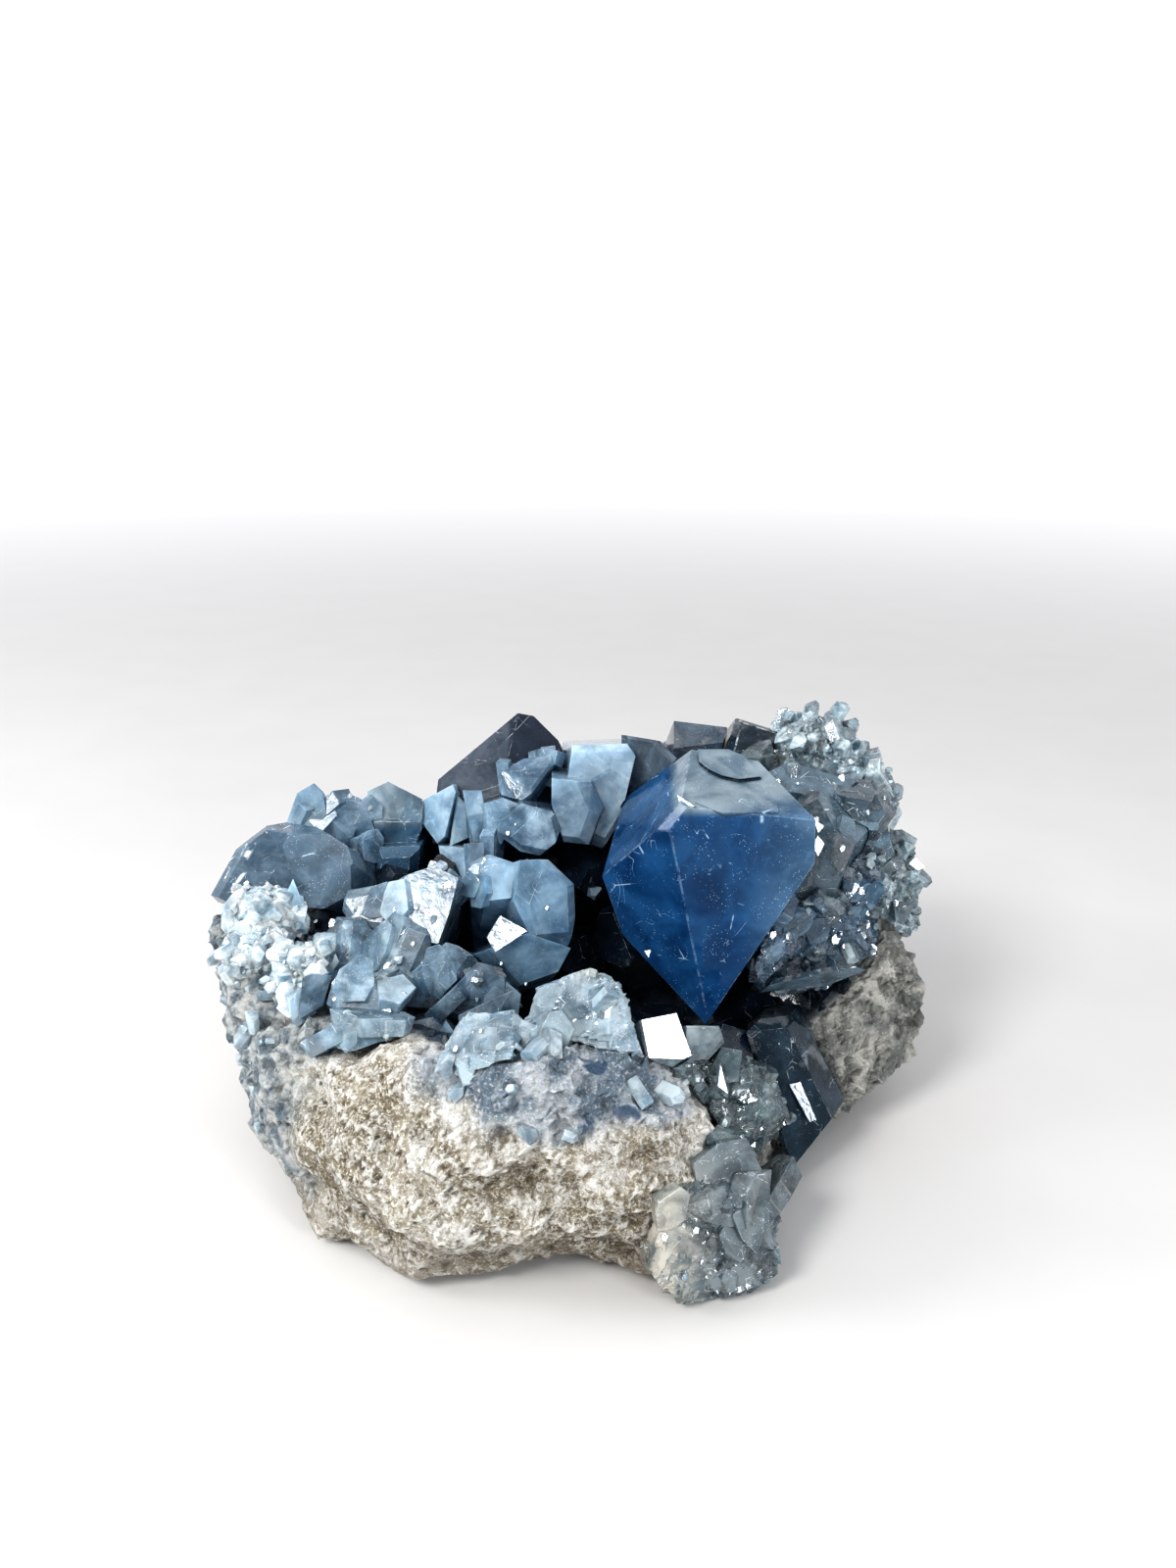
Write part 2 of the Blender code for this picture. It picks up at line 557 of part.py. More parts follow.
def grow_together(name, crystals, material):
    """One solid of a group's crystals."""
    made = crystal_object(name, crystals[0], material)
    for crystal in crystals[1:]:
        other = crystal_object("grown_together", crystal, None, hidden=True)
        combine(made, other, "UNION")
        bpy.data.objects.remove(other)
    return made


def stand_clear(made, crystals):
    """Cuts away what lies inside any of these crystals or closer to them than GAP."""
    for crystal in crystals:
        neighbour = crystal_object("neighbour", crystal, None, spread=GAP, hidden=True)
        if near(box_of(made), box_of(neighbour)):
            combine(made, neighbour, "DIFFERENCE")
        bpy.data.objects.remove(neighbour)


def centre_on_origin(stone):
    """Moves the whole stone so that the middle of its box is over the origin."""
    boxes = [box_of(made) for made in stone]
    shift = Matrix.Identity(4)
    for i in (0, 1):
        shift[i][3] = -(min(b[i][0] for b in boxes) + max(b[i][1] for b in boxes)) / 2
    for made in stone:
        made.data.transform(shift)


def main():
    for old in list(bpy.data.objects):
        bpy.data.objects.remove(old)
    limestone = principled("limestone", *LIMESTONE)
    celestite = principled("celestite", *CELESTITE)
    stone = [make_rind("limestone_rind", limestone)]
    seat = make_rind("rind_seat", None, spread=GAP, hidden=True)
    placed = []
    for name, crystals in GROUPS.items():
        made = grow_together(name, crystals, celestite)
        stand_clear(made, placed)
        combine(made, seat, "DIFFERENCE")
        keep_largest_island(made)
        placed += crystals
        stone.append(made)
    bpy.data.objects.remove(seat)
    centre_on_origin(stone)


main()
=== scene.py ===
"""The celestite geode as it looks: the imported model's crystals with their finished materials, the
rind's grain, the small crystals between the large ones, a pale floor, soft light and a camera.

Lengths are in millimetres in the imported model's frame until a mesh or a place is made from them.
"""

import math

import bmesh
import bpy
import numpy as np
from mathutils import Matrix, Vector
from mathutils.bvhtree import BVHTree
from mathutils.kdtree import KDTree


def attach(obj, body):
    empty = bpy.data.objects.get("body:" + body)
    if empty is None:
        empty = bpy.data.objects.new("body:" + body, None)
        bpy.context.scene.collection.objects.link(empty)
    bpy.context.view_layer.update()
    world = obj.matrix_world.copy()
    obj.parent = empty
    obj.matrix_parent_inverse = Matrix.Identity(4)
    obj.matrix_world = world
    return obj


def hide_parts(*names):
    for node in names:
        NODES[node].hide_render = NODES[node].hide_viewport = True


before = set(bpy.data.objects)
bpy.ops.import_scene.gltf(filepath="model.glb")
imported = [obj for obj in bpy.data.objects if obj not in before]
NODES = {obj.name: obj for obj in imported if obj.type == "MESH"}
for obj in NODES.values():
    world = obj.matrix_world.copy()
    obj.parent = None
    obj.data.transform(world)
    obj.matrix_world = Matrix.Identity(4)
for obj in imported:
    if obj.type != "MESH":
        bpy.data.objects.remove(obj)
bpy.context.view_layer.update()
MM = 0.001

# The camera that the photograph was taken with: place in mm, tilt below the horizon, lens.
CAMERA_AT = (3.2, -257.7, 180.0)
CAMERA_DOWN = 20.1
LENS, SENSOR = 27.05, 36.0

# Soft lights: place and size in mm, power in watts, colour. All look at the middle of the stone.
LIGHTS = {
    "key": ((-380, -480, 620), 300, 3.8, (1.0, 0.98, 0.95)),
    "fill": ((60, -900, 700), 900, 2.2, (0.97, 0.98, 1.0)),
    "window": ((620, -730, 330), 220, 3.0, (0.95, 0.98, 1.0)),
    "left": ((-800, -60, 420), 300, 2.4, (0.95, 0.98, 1.0)),
}
MIDDLE = (0, 0, 45)


# Shapes as arrays: points is (n, 3) in mm, faces is (m, 3) of point numbers.


def arrays_of(mesh):
    """A mesh's points, with those that lie in one place made one, and its triangles."""
    points = np.empty(len(mesh.vertices) * 3)
    mesh.vertices.foreach_get("co", points)
    points = points.reshape(-1, 3) / MM
    mesh.calc_loop_triangles()
    faces = np.empty(len(mesh.loop_triangles) * 3, np.int64)
    mesh.loop_triangles.foreach_get("vertices", faces)
    faces = faces.reshape(-1, 3)
    _, first, same = np.unique(
        np.round(points, 3), axis=0, return_index=True, return_inverse=True
    )
    faces = same.ravel()[faces]
    a, b, c = faces.T
    return points[first], faces[(a != b) & (b != c) & (a != c)]


def arrays_from(bm):
    """The points and triangles of a bmesh, which is then let go."""
    bmesh.ops.triangulate(bm, faces=bm.faces)
    bmesh.ops.recalc_face_normals(bm, faces=bm.faces)
    bm.verts.index_update()
    points = np.array([v.co for v in bm.verts])
    faces = np.array([[v.index for v in f.verts] for f in bm.faces])
    bm.free()
    return points, faces


def mesh_from(name, points, faces):
    mesh = bpy.data.meshes.new(name)
    mesh.vertices.add(len(points))
    mesh.vertices.foreach_set("co", (np.asarray(points) * MM).astype(np.float32).ravel())
    mesh.loops.add(len(faces) * 3)
    mesh.loops.foreach_set("vertex_index", np.asarray(faces, np.int32).ravel())
    mesh.polygons.add(len(faces))
    mesh.polygons.foreach_set("loop_start", np.arange(0, len(faces) * 3, 3, dtype=np.int32))
    mesh.polygons.foreach_set("use_smooth", np.zeros(len(faces), bool))
    mesh.update(calc_edges=True)
    return mesh


def new_object(name, data):
    made = bpy.data.objects.new(name, data)
    bpy.context.scene.collection.objects.link(made)
    return made


def add_mask(made, name, values):
    mask = made.data.attributes.new(name, "FLOAT", "POINT")
    mask.data.foreach_set("value", values.astype(np.float32))


def new_piece(name, points, faces, material, replaced=()):
    """A visible piece on the one body of the model."""
    made = new_object(name, mesh_from(name, points, faces))
    made.data.materials.append(material)
    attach(made, "root")
    if replaced:
        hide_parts(*replaced)
    return made


def crosses(corners):
    """For each triangle, the way it looks, as long as twice its area."""
    return np.cross(corners[:, 1] - corners[:, 0], corners[:, 2] - corners[:, 0])


def unit(vectors):
    return vectors / np.maximum(np.linalg.norm(vectors, axis=-1, keepdims=True), 1e-9)


def normals_of(points, faces):
    """Outward direction at each point."""
    face_normal = crosses(points[faces])
    total = np.zeros_like(points)
    for i in range(3):
        np.add.at(total, faces[:, i], face_normal)
    return unit(total)


def sunken(points, faces):
    """How deep each point lies below its neighbours' mean, in mm. Ridges come out negative."""
    ends = np.concatenate([faces[:, [0, 1]], faces[:, [1, 2]], faces[:, [2, 0]]])
    count = np.bincount(ends[:, 0], minlength=len(points))[:, None]
    total = np.zeros_like(points)
    np.add.at(total, ends[:, 0], points[ends[:, 1]])
    mean = total / np.maximum(count, 1)
    return ((mean - points) * normals_of(points, faces)).sum(1)


def lattice(cell, seed):
    """A repeatable number from 0 to 1 for each whole-number place."""
    mixed = cell[:, 0] * 374761393 + cell[:, 1] * 668265263 + cell[:, 2] * 1440662683
    mixed = (mixed + seed * 1274126177) & 0xFFFFFFFF
    mixed = ((mixed ^ (mixed >> 13)) * 1274126177) & 0xFFFFFFFF
    return ((mixed ^ (mixed >> 16)) & 0xFFFF) / 65535.0


def waves(points, size, seed):
    """Smooth noise from -1 to 1 with lumps of about that size."""
    place = points / size + seed * 17.31
    cell = np.floor(place).astype(np.int64)
    t = place - cell
    t = t * t * (3 - 2 * t)
    total = np.zeros(len(points))
    for corner in np.ndindex(2, 2, 2):
        share = np.ones(len(points))
        for i in range(3):
            share = share * (t[:, i] if corner[i] else 1 - t[:, i])
        total += share * lattice(cell + np.array(corner), seed)
    return total * 2 - 1


def step(low, high, value):
    """0 below low, 1 above high, smooth between."""
    t = np.clip((value - low) / (high - low), 0, 1)
    return t * t * (3 - 2 * t)


def remeshed(points, faces, pitch, smoothing):
    """The same shape in even triangles of about that size, softened."""
    made = new_object("raw", mesh_from("raw", points, faces))
    even = made.modifiers.new("even", "REMESH")
    even.mode, even.voxel_size = "VOXEL", pitch * MM
    soft = made.modifiers.new("soft", "SMOOTH")
    soft.factor, soft.iterations = 0.5, smoothing
    graph = bpy.context.evaluated_depsgraph_get()
    mesh = bpy.data.meshes.new_from_object(made.evaluated_get(graph))
    bpy.data.objects.remove(made)
    found = arrays_of(mesh)
    bpy.data.meshes.remove(mesh)
    return found


def flats_of(points, source_points, source_faces):
    """For each point, a number for the flat face of the source that it lies on, and the way that
    face looks."""
    corners = source_points[source_faces]
    looks = unit(crosses(corners))
    away = (corners[:, 0] * looks).sum(1, keepdims=True)
    tree = BVHTree.FromPolygons(source_points.tolist(), source_faces.tolist())
    nearest = np.array([tree.find_nearest(p)[2] for p in points])
    plane = np.concatenate([np.round(looks, 1), np.round(away / 2)], axis=1)[nearest]
    number = np.unique(plane, axis=0, return_inverse=True)[1].ravel()
    return number, looks[nearest]


def broken(points, faces, size, depth, tilt, seed, weight=1.0, flats=None):
    """The surface broken into flat faces about size across, each tilted its own way, but none
    across two of the flats. Gives the points, a tone for each, and the new flats."""
    vary = np.random.RandomState(seed)
    low, high = points.min(0) - size, points.max(0) + size
    counts = np.ceil((high - low) / size).astype(int)
    seeds = np.stack(np.meshgrid(*[np.arange(c) for c in counts], indexing="ij"), -1).reshape(-1, 3)
    seeds = low + (seeds + vary.uniform(0.05, 0.95, seeds.shape)) * size
    tree = KDTree(len(seeds))
    for i, place in enumerate(seeds):
        tree.insert(place, i)
    tree.balance()
    cell = np.array([tree.find(p)[1] for p in points])
    directions = normals_of(points, faces)
    if flats:
        number, directions = flats
        cell = np.unique(np.column_stack([cell, number]), axis=0, return_inverse=True)[1].ravel()
    total = cell.max() + 1
    count = np.maximum(np.bincount(cell, minlength=total), 1)[:, None]
    middle, looks = np.zeros((total, 3)), np.zeros((total, 3))
    np.add.at(middle, cell, points)
    np.add.at(looks, cell, directions)
    middle /= count
    looks = unit(unit(looks) + vary.normal(0, tilt, looks.shape))
    middle += looks * vary.uniform(-depth, depth * 0.6, (total, 1))
    away = ((middle[cell] - points) * looks[cell]).sum(1)
    most = max(depth * 2, 0.8)
    away = np.clip(away, -most, most) * weight
    tone = vary.uniform(0, 1, total)[cell]
    return points + looks[cell] * away[:, None], tone, (cell, looks[cell])


# Materials


class Nodes:
    """Shader nodes, with short ways to add and join them. Sizes of patterns are in mm."""

    def __init__(self, tree):
        self.tree = tree
        self.coordinates = self.add("TexCoord").outputs
        self.place = self.coordinates["Object"]

    def add(self, kind, **settings):
        node = self.tree.nodes.new("ShaderNode" + kind)
        for key, value in settings.items():
            setattr(node, key, value)
        return node

    def put(self, socket, value):
        if isinstance(value, bpy.types.NodeSocket):
            self.tree.links.new(value, socket)
        elif socket.type == "RGBA" and len(value) == 3:
            socket.default_value = (*value, 1)
        else:
            socket.default_value = value

    def fill(self, node, **values):
        """Sets or joins a node's inputs, each named with _ for a space, and gives its outputs."""
        for name, value in values.items():
            self.put(node.inputs[name.replace("_", " ")], value)
        return node.outputs

    def math(self, operation, a, b=0.0, c=0.0):
        node = self.add("Math", operation=operation)
        for socket, value in zip(node.inputs, (a, b, c)):
            self.put(socket, value)
        return node.outputs[0]

    def plus(self, a, b):
        return self.math("ADD", a, b)

    def times(self, a, b):
        return self.math("MULTIPLY", a, b)

    def most(self, a, b):
        return self.math("MAXIMUM", a, b)

    def vector(self, operation, a, b=(0, 0, 0)):
        node = self.add("VectorMath", operation=operation)
        self.put(node.inputs[0], a)
        self.put(node.inputs[1], b)
        return node.outputs

    def parts(self, vector):
        """A vector's X, Y and Z."""
        return self.fill(self.add("SeparateXYZ"), Vector=vector)

    def turned(self, at, turn, scale=(1, 1, 1)):
        """A place turned, in radians, and stretched, for patterns that run one way."""
        return self.fill(self.add("Mapping"), Vector=at, Rotation=turn, Scale=scale)[0]

    def noise(self, size, detail=4.0, rough=0.55, twist=0.0, at=None):
        return self.fill(self.add("TexNoise"), Vector=at or self.place, Scale=1000.0 / size,
                         Detail=detail, Roughness=rough, Distortion=twist)["Fac"]

    def cells(self, size, at, feature="F1", output="Distance"):
        node = self.add("TexVoronoi", feature=feature)
        return self.fill(node, Vector=at, Scale=1000.0 / size)[output]

    def ramp(self, value, low, high, to_low=0.0, to_high=1.0, way="SMOOTHSTEP"):
        """value from low to high becomes to_low to to_high, and stops there."""
        node = self.add("MapRange", interpolation_type=way)
        return self.fill(node, Value=value, From_Min=low, From_Max=high, To_Min=to_low,
                         To_Max=to_high)["Result"]

    def mix(self, share, a, b, blend="MIX"):
        node = self.add("Mix", data_type="RGBA", blend_type=blend)
        self.put(node.inputs[0], share)
        self.put(node.inputs[6], a)
        self.put(node.inputs[7], b)
        return node.outputs[2]

    def layered(self, colour, *layers):
        """A colour with others laid over it one by one, each given as its share and itself."""
        for share, over in layers:
            colour = self.mix(share, colour, over)
        return colour


class Paint(Nodes):
    """A material made of nodes."""

    def __init__(self, name):
        self.material = bpy.data.materials.new(name)
        self.material.use_nodes = True
        super().__init__(self.material.node_tree)
        self.shader = self.tree.nodes["Principled BSDF"]

    def mask(self, name):
        return self.add("Attribute", attribute_name=name).outputs["Fac"]

    def by_face(self):
        """A number from 0 to 1 for each flat face, by the way it looks."""
        look = self.add("NewGeometry").outputs["True Normal"]
        snapped = self.vector("SNAP", look, (0.11, 0.13, 0.17))[0]
        noise = self.add("TexWhiteNoise", noise_dimensions="3D")
        return self.fill(noise, Vector=snapped)["Value"]

    def bump(self, height, strength, distance):
        bump = self.fill(self.add("Bump"), Height=height, Strength=strength, Distance=distance * MM)
        self.set(Normal=bump[0])

    def absorb(self, tint, density):
        """Light of other colours than the tint is lost inside."""
        volume = self.fill(self.add("VolumeAbsorption"), Color=tint, Density=density)
        self.fill(self.tree.nodes["Material Output"], Volume=volume[0])

    def set(self, **values):
        self.fill(self.shader, **values)


# What thick celestite lets through: the great crystal, most crystals, grey, smoky and the deepest.
DEEP, MID, GREY = (0.12, 0.45, 0.76), (0.20, 0.48, 0.74), (0.30, 0.48, 0.62)
SMOKE, NIGHT = (0.50, 0.50, 0.52), (0.2, 0.42, 0.62)
# What makes a cloud's darker and lighter parts of its colour, and the colour of clear parts.
DARKER, LIGHTER, LIFT = (0.54, 0.65, 0.71), (1.35, 1.30, 1.22), (0.008, 0.012, 0.018)
CLEAR = (0.85, 0.92, 1.0)
CELESTITE_IOR, LIMESTONE_IOR = 1.62, 1.55


def flaws(p, at, edge, patch, lines, specks, wear_and_highlight):
    """Where the fracture lines, specks and rubbed places are. The lines run where a smooth pattern
    meets its middle value, and where domains meet. The rubbed places are painted white, which
    stands for wear and for painted highlight along the edges."""
    bend = p.noise(patch * 0.9, 2.0, 0.5, 1.2, at)
    line = p.ramp(p.math("ABSOLUTE", p.math("SUBTRACT", bend, 0.5)), 0.0, 0.003, 1.0, 0.0)
    line = p.most(line, p.ramp(edge, 0.0, 0.010, 0.9, 0.0))
    line = p.times(line, p.ramp(p.noise(patch * 0.4, 3.0, 0.6, 0.0, at), 0.52, 0.62))
    speck = p.ramp(p.cells(0.55, at), 0.10, 0.20, 1.0, 0.0)
    speck = p.times(speck, p.ramp(p.noise(5.0, 4.0, 0.7, 0.0, at), 0.44, 0.64))
    marks = p.most(p.times(line, lines), p.times(speck, specks))
    # On the edges, rubbed white as wear and as painted highlight.
    if wear_and_highlight:
        rubbed = p.ramp(p.noise(2.2, 3.0, 0.7, 0.0, at), 0.42, 0.62, 0.0, wear_and_highlight)
        marks = p.most(marks, rubbed)
    return marks


def crystal_paint(name, cloud, milk, absorb=50.0, tint=MID, rough=0.05, patch=9.0, lines=0.5,
                  specks=0.5, glow=0.0, grain=0.3, grain_size=7.0, toned=False, facets=0.5, shine=0.5,
                  drift=None, cap=None, ribs=None, wear_and_highlight=0.0, mark=(0.88, 0.91, 0.94)):
    """Celestite. cloud is its colour where it is cloudy, and milk the least and most of that
    cloudiness. absorb and tint darken what is thick. grain is how much the domains inside differ,
    facets how much of that goes by the face and not by the domain, and glow how far light spreads
    in the cloudy parts. drift and cap are a colour and two places in metres along X and Z between
    which the cloud turns into it. ribs is the width of growth lines and their turn about Y in
    degrees, wear_and_highlight how much of the surface is painted white, for rubbed wear and for
    painted highlight along the edges, and mark the colour of its flaws."""
    p = Paint(name)
    shift = sum(ord(letter) for letter in name) * 0.0137
    at = p.vector("ADD", p.place, (shift, shift * 0.7, -shift * 0.4))[0]
    wide = p.noise(patch, 5.0, 0.6, 0.8, at)
    soft = p.noise(patch * 0.8, 4.0, 0.55, 0.5)
    fine = p.noise(patch * 0.16, 3.0, 0.6, 0.3, at)
    grown = p.turned(at, (0.7, 0.4, 1.1), (1.0, 0.55, 1.3))
    domain = p.fill(p.add("SeparateColor"), Color=p.cells(grain_size, grown, output="Color"))
    tone = p.mask("tone") if toned else domain[0]
    tone = p.plus(p.times(tone, 1 - facets), p.times(p.by_face(), facets))
    cloudy = p.ramp(wide, 0.34, 0.68, milk[0], milk[1])
    cloudy = p.plus(cloudy, p.ramp(fine, 0.45, 0.8, 0.0, 0.12))
    cloudy = p.plus(cloudy, p.ramp(tone, 0.0, 1.0, -grain * 0.3, grain * 0.3))
    edge = p.cells(grain_size, grown, feature="DISTANCE_TO_EDGE")
    marks = flaws(p, at, edge, patch, lines, specks, wear_and_highlight)
    for axis, change in (("X", drift), ("Z", cap)):
        if change:
            colour, start, end = change
            cloud = p.mix(p.ramp(p.parts(p.place)[axis], start, end), cloud, colour)
    dark = p.mix(1.0, cloud, DARKER, "MULTIPLY")
    light = p.mix(1.0, p.mix(1.0, cloud, LIGHTER, "MULTIPLY"), LIFT, "ADD")
    cloud = p.layered(dark, (p.ramp(soft, 0.34, 0.66), light),
                      (p.ramp(tone, 0.3, 1.0, 0.0, min(1.0, grain * 1.5)), light),
                      (p.ramp(fine, 0.55, 0.8, 0.0, 0.45), light))
    colour = p.layered(CLEAR, (p.ramp(cloudy, 0.1, 0.4), cloud), (marks, mark))
    see = p.math("SUBTRACT", 1.0, p.math("MINIMUM", p.most(cloudy, marks), 1.0))
    uneven = p.ramp(p.noise(0.5, 2.0, 0.6, 0.0, at), 0.35, 0.8, rough * 0.8, rough + 0.06)
    height = p.plus(wide, p.times(fine, 0.3))
    if ribs:
        width, turn = ribs
        rubbed = p.noise(1.6, 3.0, 0.7, 0.5, at)
        uneven = p.plus(uneven, p.ramp(rubbed, 0.5, 0.6, 0.0, 0.08))
        run = p.fill(p.add("TexWave", bands_direction="X"), Scale=1000.0 / width / 20.0, Distortion=1.5,
                     Vector=p.turned(p.place, (0, math.radians(turn), 0)))
        height = p.plus(height, p.times(run["Fac"], 0.8))
    p.set(Base_Color=colour, Transmission_Weight=see, IOR=CELESTITE_IOR, Specular_IOR_Level=shine,
          Roughness=p.plus(uneven, p.times(marks, 0.4)))
    if glow:
        p.set(Subsurface_Weight=glow, Subsurface_Scale=3.0 * MM, Subsurface_Radius=(0.45, 0.75, 1.0))
    p.bump(height, 0.3, 0.6)
    p.absorb(tint, absorb)
    return p.material


def stone_colour(p, wide, grit, crumbs, patches, pits_and_crevice_shade):
    """Cream limestone with yellow-brown patches, white grains and dark pits, painted shade in what lies
    deep, in the dents and towards the foot, and painted highlight on the crests.
    """
    sand = p.noise(0.32, 2.0, 0.7)
    pale = p.noise(4.5, 3.0, 0.6, 0.4)
    streak = p.ramp(p.noise(2.4, 4.0, 0.75, 0.6), 0.54, 0.60)
    # Painted highlight on what stands out above its neighbours.
    crest_highlight = p.ramp(p.mask("sunk"), -0.20, -0.03, 1.0, 0.0)
    return p.layered(
        (0.46, 0.42, 0.33),
        (p.ramp(wide, 0.40, 0.60), (0.66, 0.65, 0.63)),
        (p.times(patches, 0.65), (0.36, 0.31, 0.21)),
        (p.ramp(crumbs, 0.40, 0.58, 0.7, 0.0), (0.27, 0.235, 0.18)),
        (p.ramp(pale, 0.55, 0.64, 0.0, 0.6), (0.82, 0.82, 0.80)),
        (p.times(patches, p.ramp(grit, 0.42, 0.6, 0.8, 0.1)), (0.25, 0.21, 0.14)),
        (p.ramp(grit, 0.52, 0.60, 0.0, 0.8), (0.86, 0.85, 0.81)),
        (p.ramp(sand, 0.38, 0.47, 0.6, 0.0), (0.24, 0.20, 0.14)),
        (p.times(pits_and_crevice_shade, 0.8), (0.085, 0.066, 0.042)),
        (p.times(crest_highlight, 0.7), (0.92, 0.91, 0.88)),
        # Painted shade in the dents.
        (p.times(p.mask("dent"), p.ramp(crumbs, 0.35, 0.6, 0.8, 0.2)), (0.15, 0.12, 0.08)),
        # Painted shade towards the foot.
        (p.times(p.mask("low"), 0.6), (0.20, 0.17, 0.13)),
        (p.times(streak, 0.55), (0.80, 0.79, 0.76)),
    ), sand


def rind_paint():
    """Gritty limestone outside, turning into massive white to blue-grey celestite near the rim."""
    p = Paint("rind")
    massive, inside, left, right = (p.mask(m) for m in ("massive", "inside", "left", "right"))
    wide = p.noise(11.0, 5.0, 0.65, 0.4)
    grit = p.noise(0.7, 3.0, 0.75, 0.2)
    crumbs = p.noise(2.2, 4.0, 0.7, 0.3)
    # Painted shade where the surface lies deep below its neighbours.
    crevice_shade = p.ramp(p.mask("sunk"), 0.03, 0.30)
    patches = p.ramp(p.noise(19.0, 4.0, 0.65, 0.5), 0.44, 0.60)
    # The dents count as patches too, so they darken as painted shade.
    patches = p.most(patches, p.mask("dent"))
    pits = p.ramp(p.noise(0.75, 3.0, 0.8, 0.3), 0.40, 0.46, 1.0, 0.0)
    pits = p.times(pits, p.ramp(patches, 0.0, 1.0, 0.12, 1.0))
    pits = p.most(pits, p.times(p.ramp(crumbs, 0.36, 0.46, 0.4, 0.0), patches))
    # Dark pits, and painted shade in the crevices.
    pits_and_crevice_shade = p.most(p.times(pits, 0.9), crevice_shade)
    stone, sand = stone_colour(p, wide, grit, crumbs, patches, pits_and_crevice_shade)
    frost = p.layered((0.15, 0.20, 0.25),
                      (p.ramp(wide, 0.42, 0.60), (0.56, 0.59, 0.62)),
                      (p.ramp(grit, 0.5, 0.75, 0.0, 0.8), (0.94, 0.94, 0.94)),
                      (p.ramp(p.noise(7.0, 3.0, 0.55, 0.4), 0.60, 0.66), (0.07, 0.12, 0.19)),
                      (p.times(pits_and_crevice_shade, 0.45), (0.20, 0.24, 0.28)))
    pale_left = p.layered((0.16, 0.20, 0.23),
                          (p.ramp(p.noise(4.0, 4.0, 0.65, 0.5), 0.38, 0.62), (0.58, 0.59, 0.58)),
                          (p.times(crevice_shade, 0.7), (0.20, 0.22, 0.23)))
    grey = p.layered((0.17, 0.18, 0.175),
                     (p.ramp(wide, 0.38, 0.64), (0.58, 0.57, 0.53)),
                     (p.ramp(grit, 0.55, 0.75, 0.0, 0.7), (0.86, 0.85, 0.80)),
                     (p.times(pits_and_crevice_shade, 0.6), (0.08, 0.08, 0.065)))
    # The hollow's inner side is painted nearly black: painted shade.
    deep = p.mix(p.ramp(wide, 0.35, 0.65), (0.010, 0.018, 0.032), (0.05, 0.08, 0.12))
    colour = p.layered(stone, (massive, frost), (left, pale_left), (right, grey), (inside, deep))
    shine = p.most(massive, p.most(left, p.most(right, inside)))
    p.set(Base_Color=colour, Roughness=p.ramp(shine, 0.0, 1.0, 0.93, 0.30), IOR=LIMESTONE_IOR,
          Subsurface_Weight=p.times(p.most(massive, left), 0.5),
          Subsurface_Scale=2.0 * MM, Subsurface_Radius=(0.5, 0.75, 1.0))
    height = p.plus(grit, p.times(sand, 0.7))
    p.bump(p.math("SUBTRACT", height, p.times(pits, 0.8)), 0.9, 0.8)
    return p.material


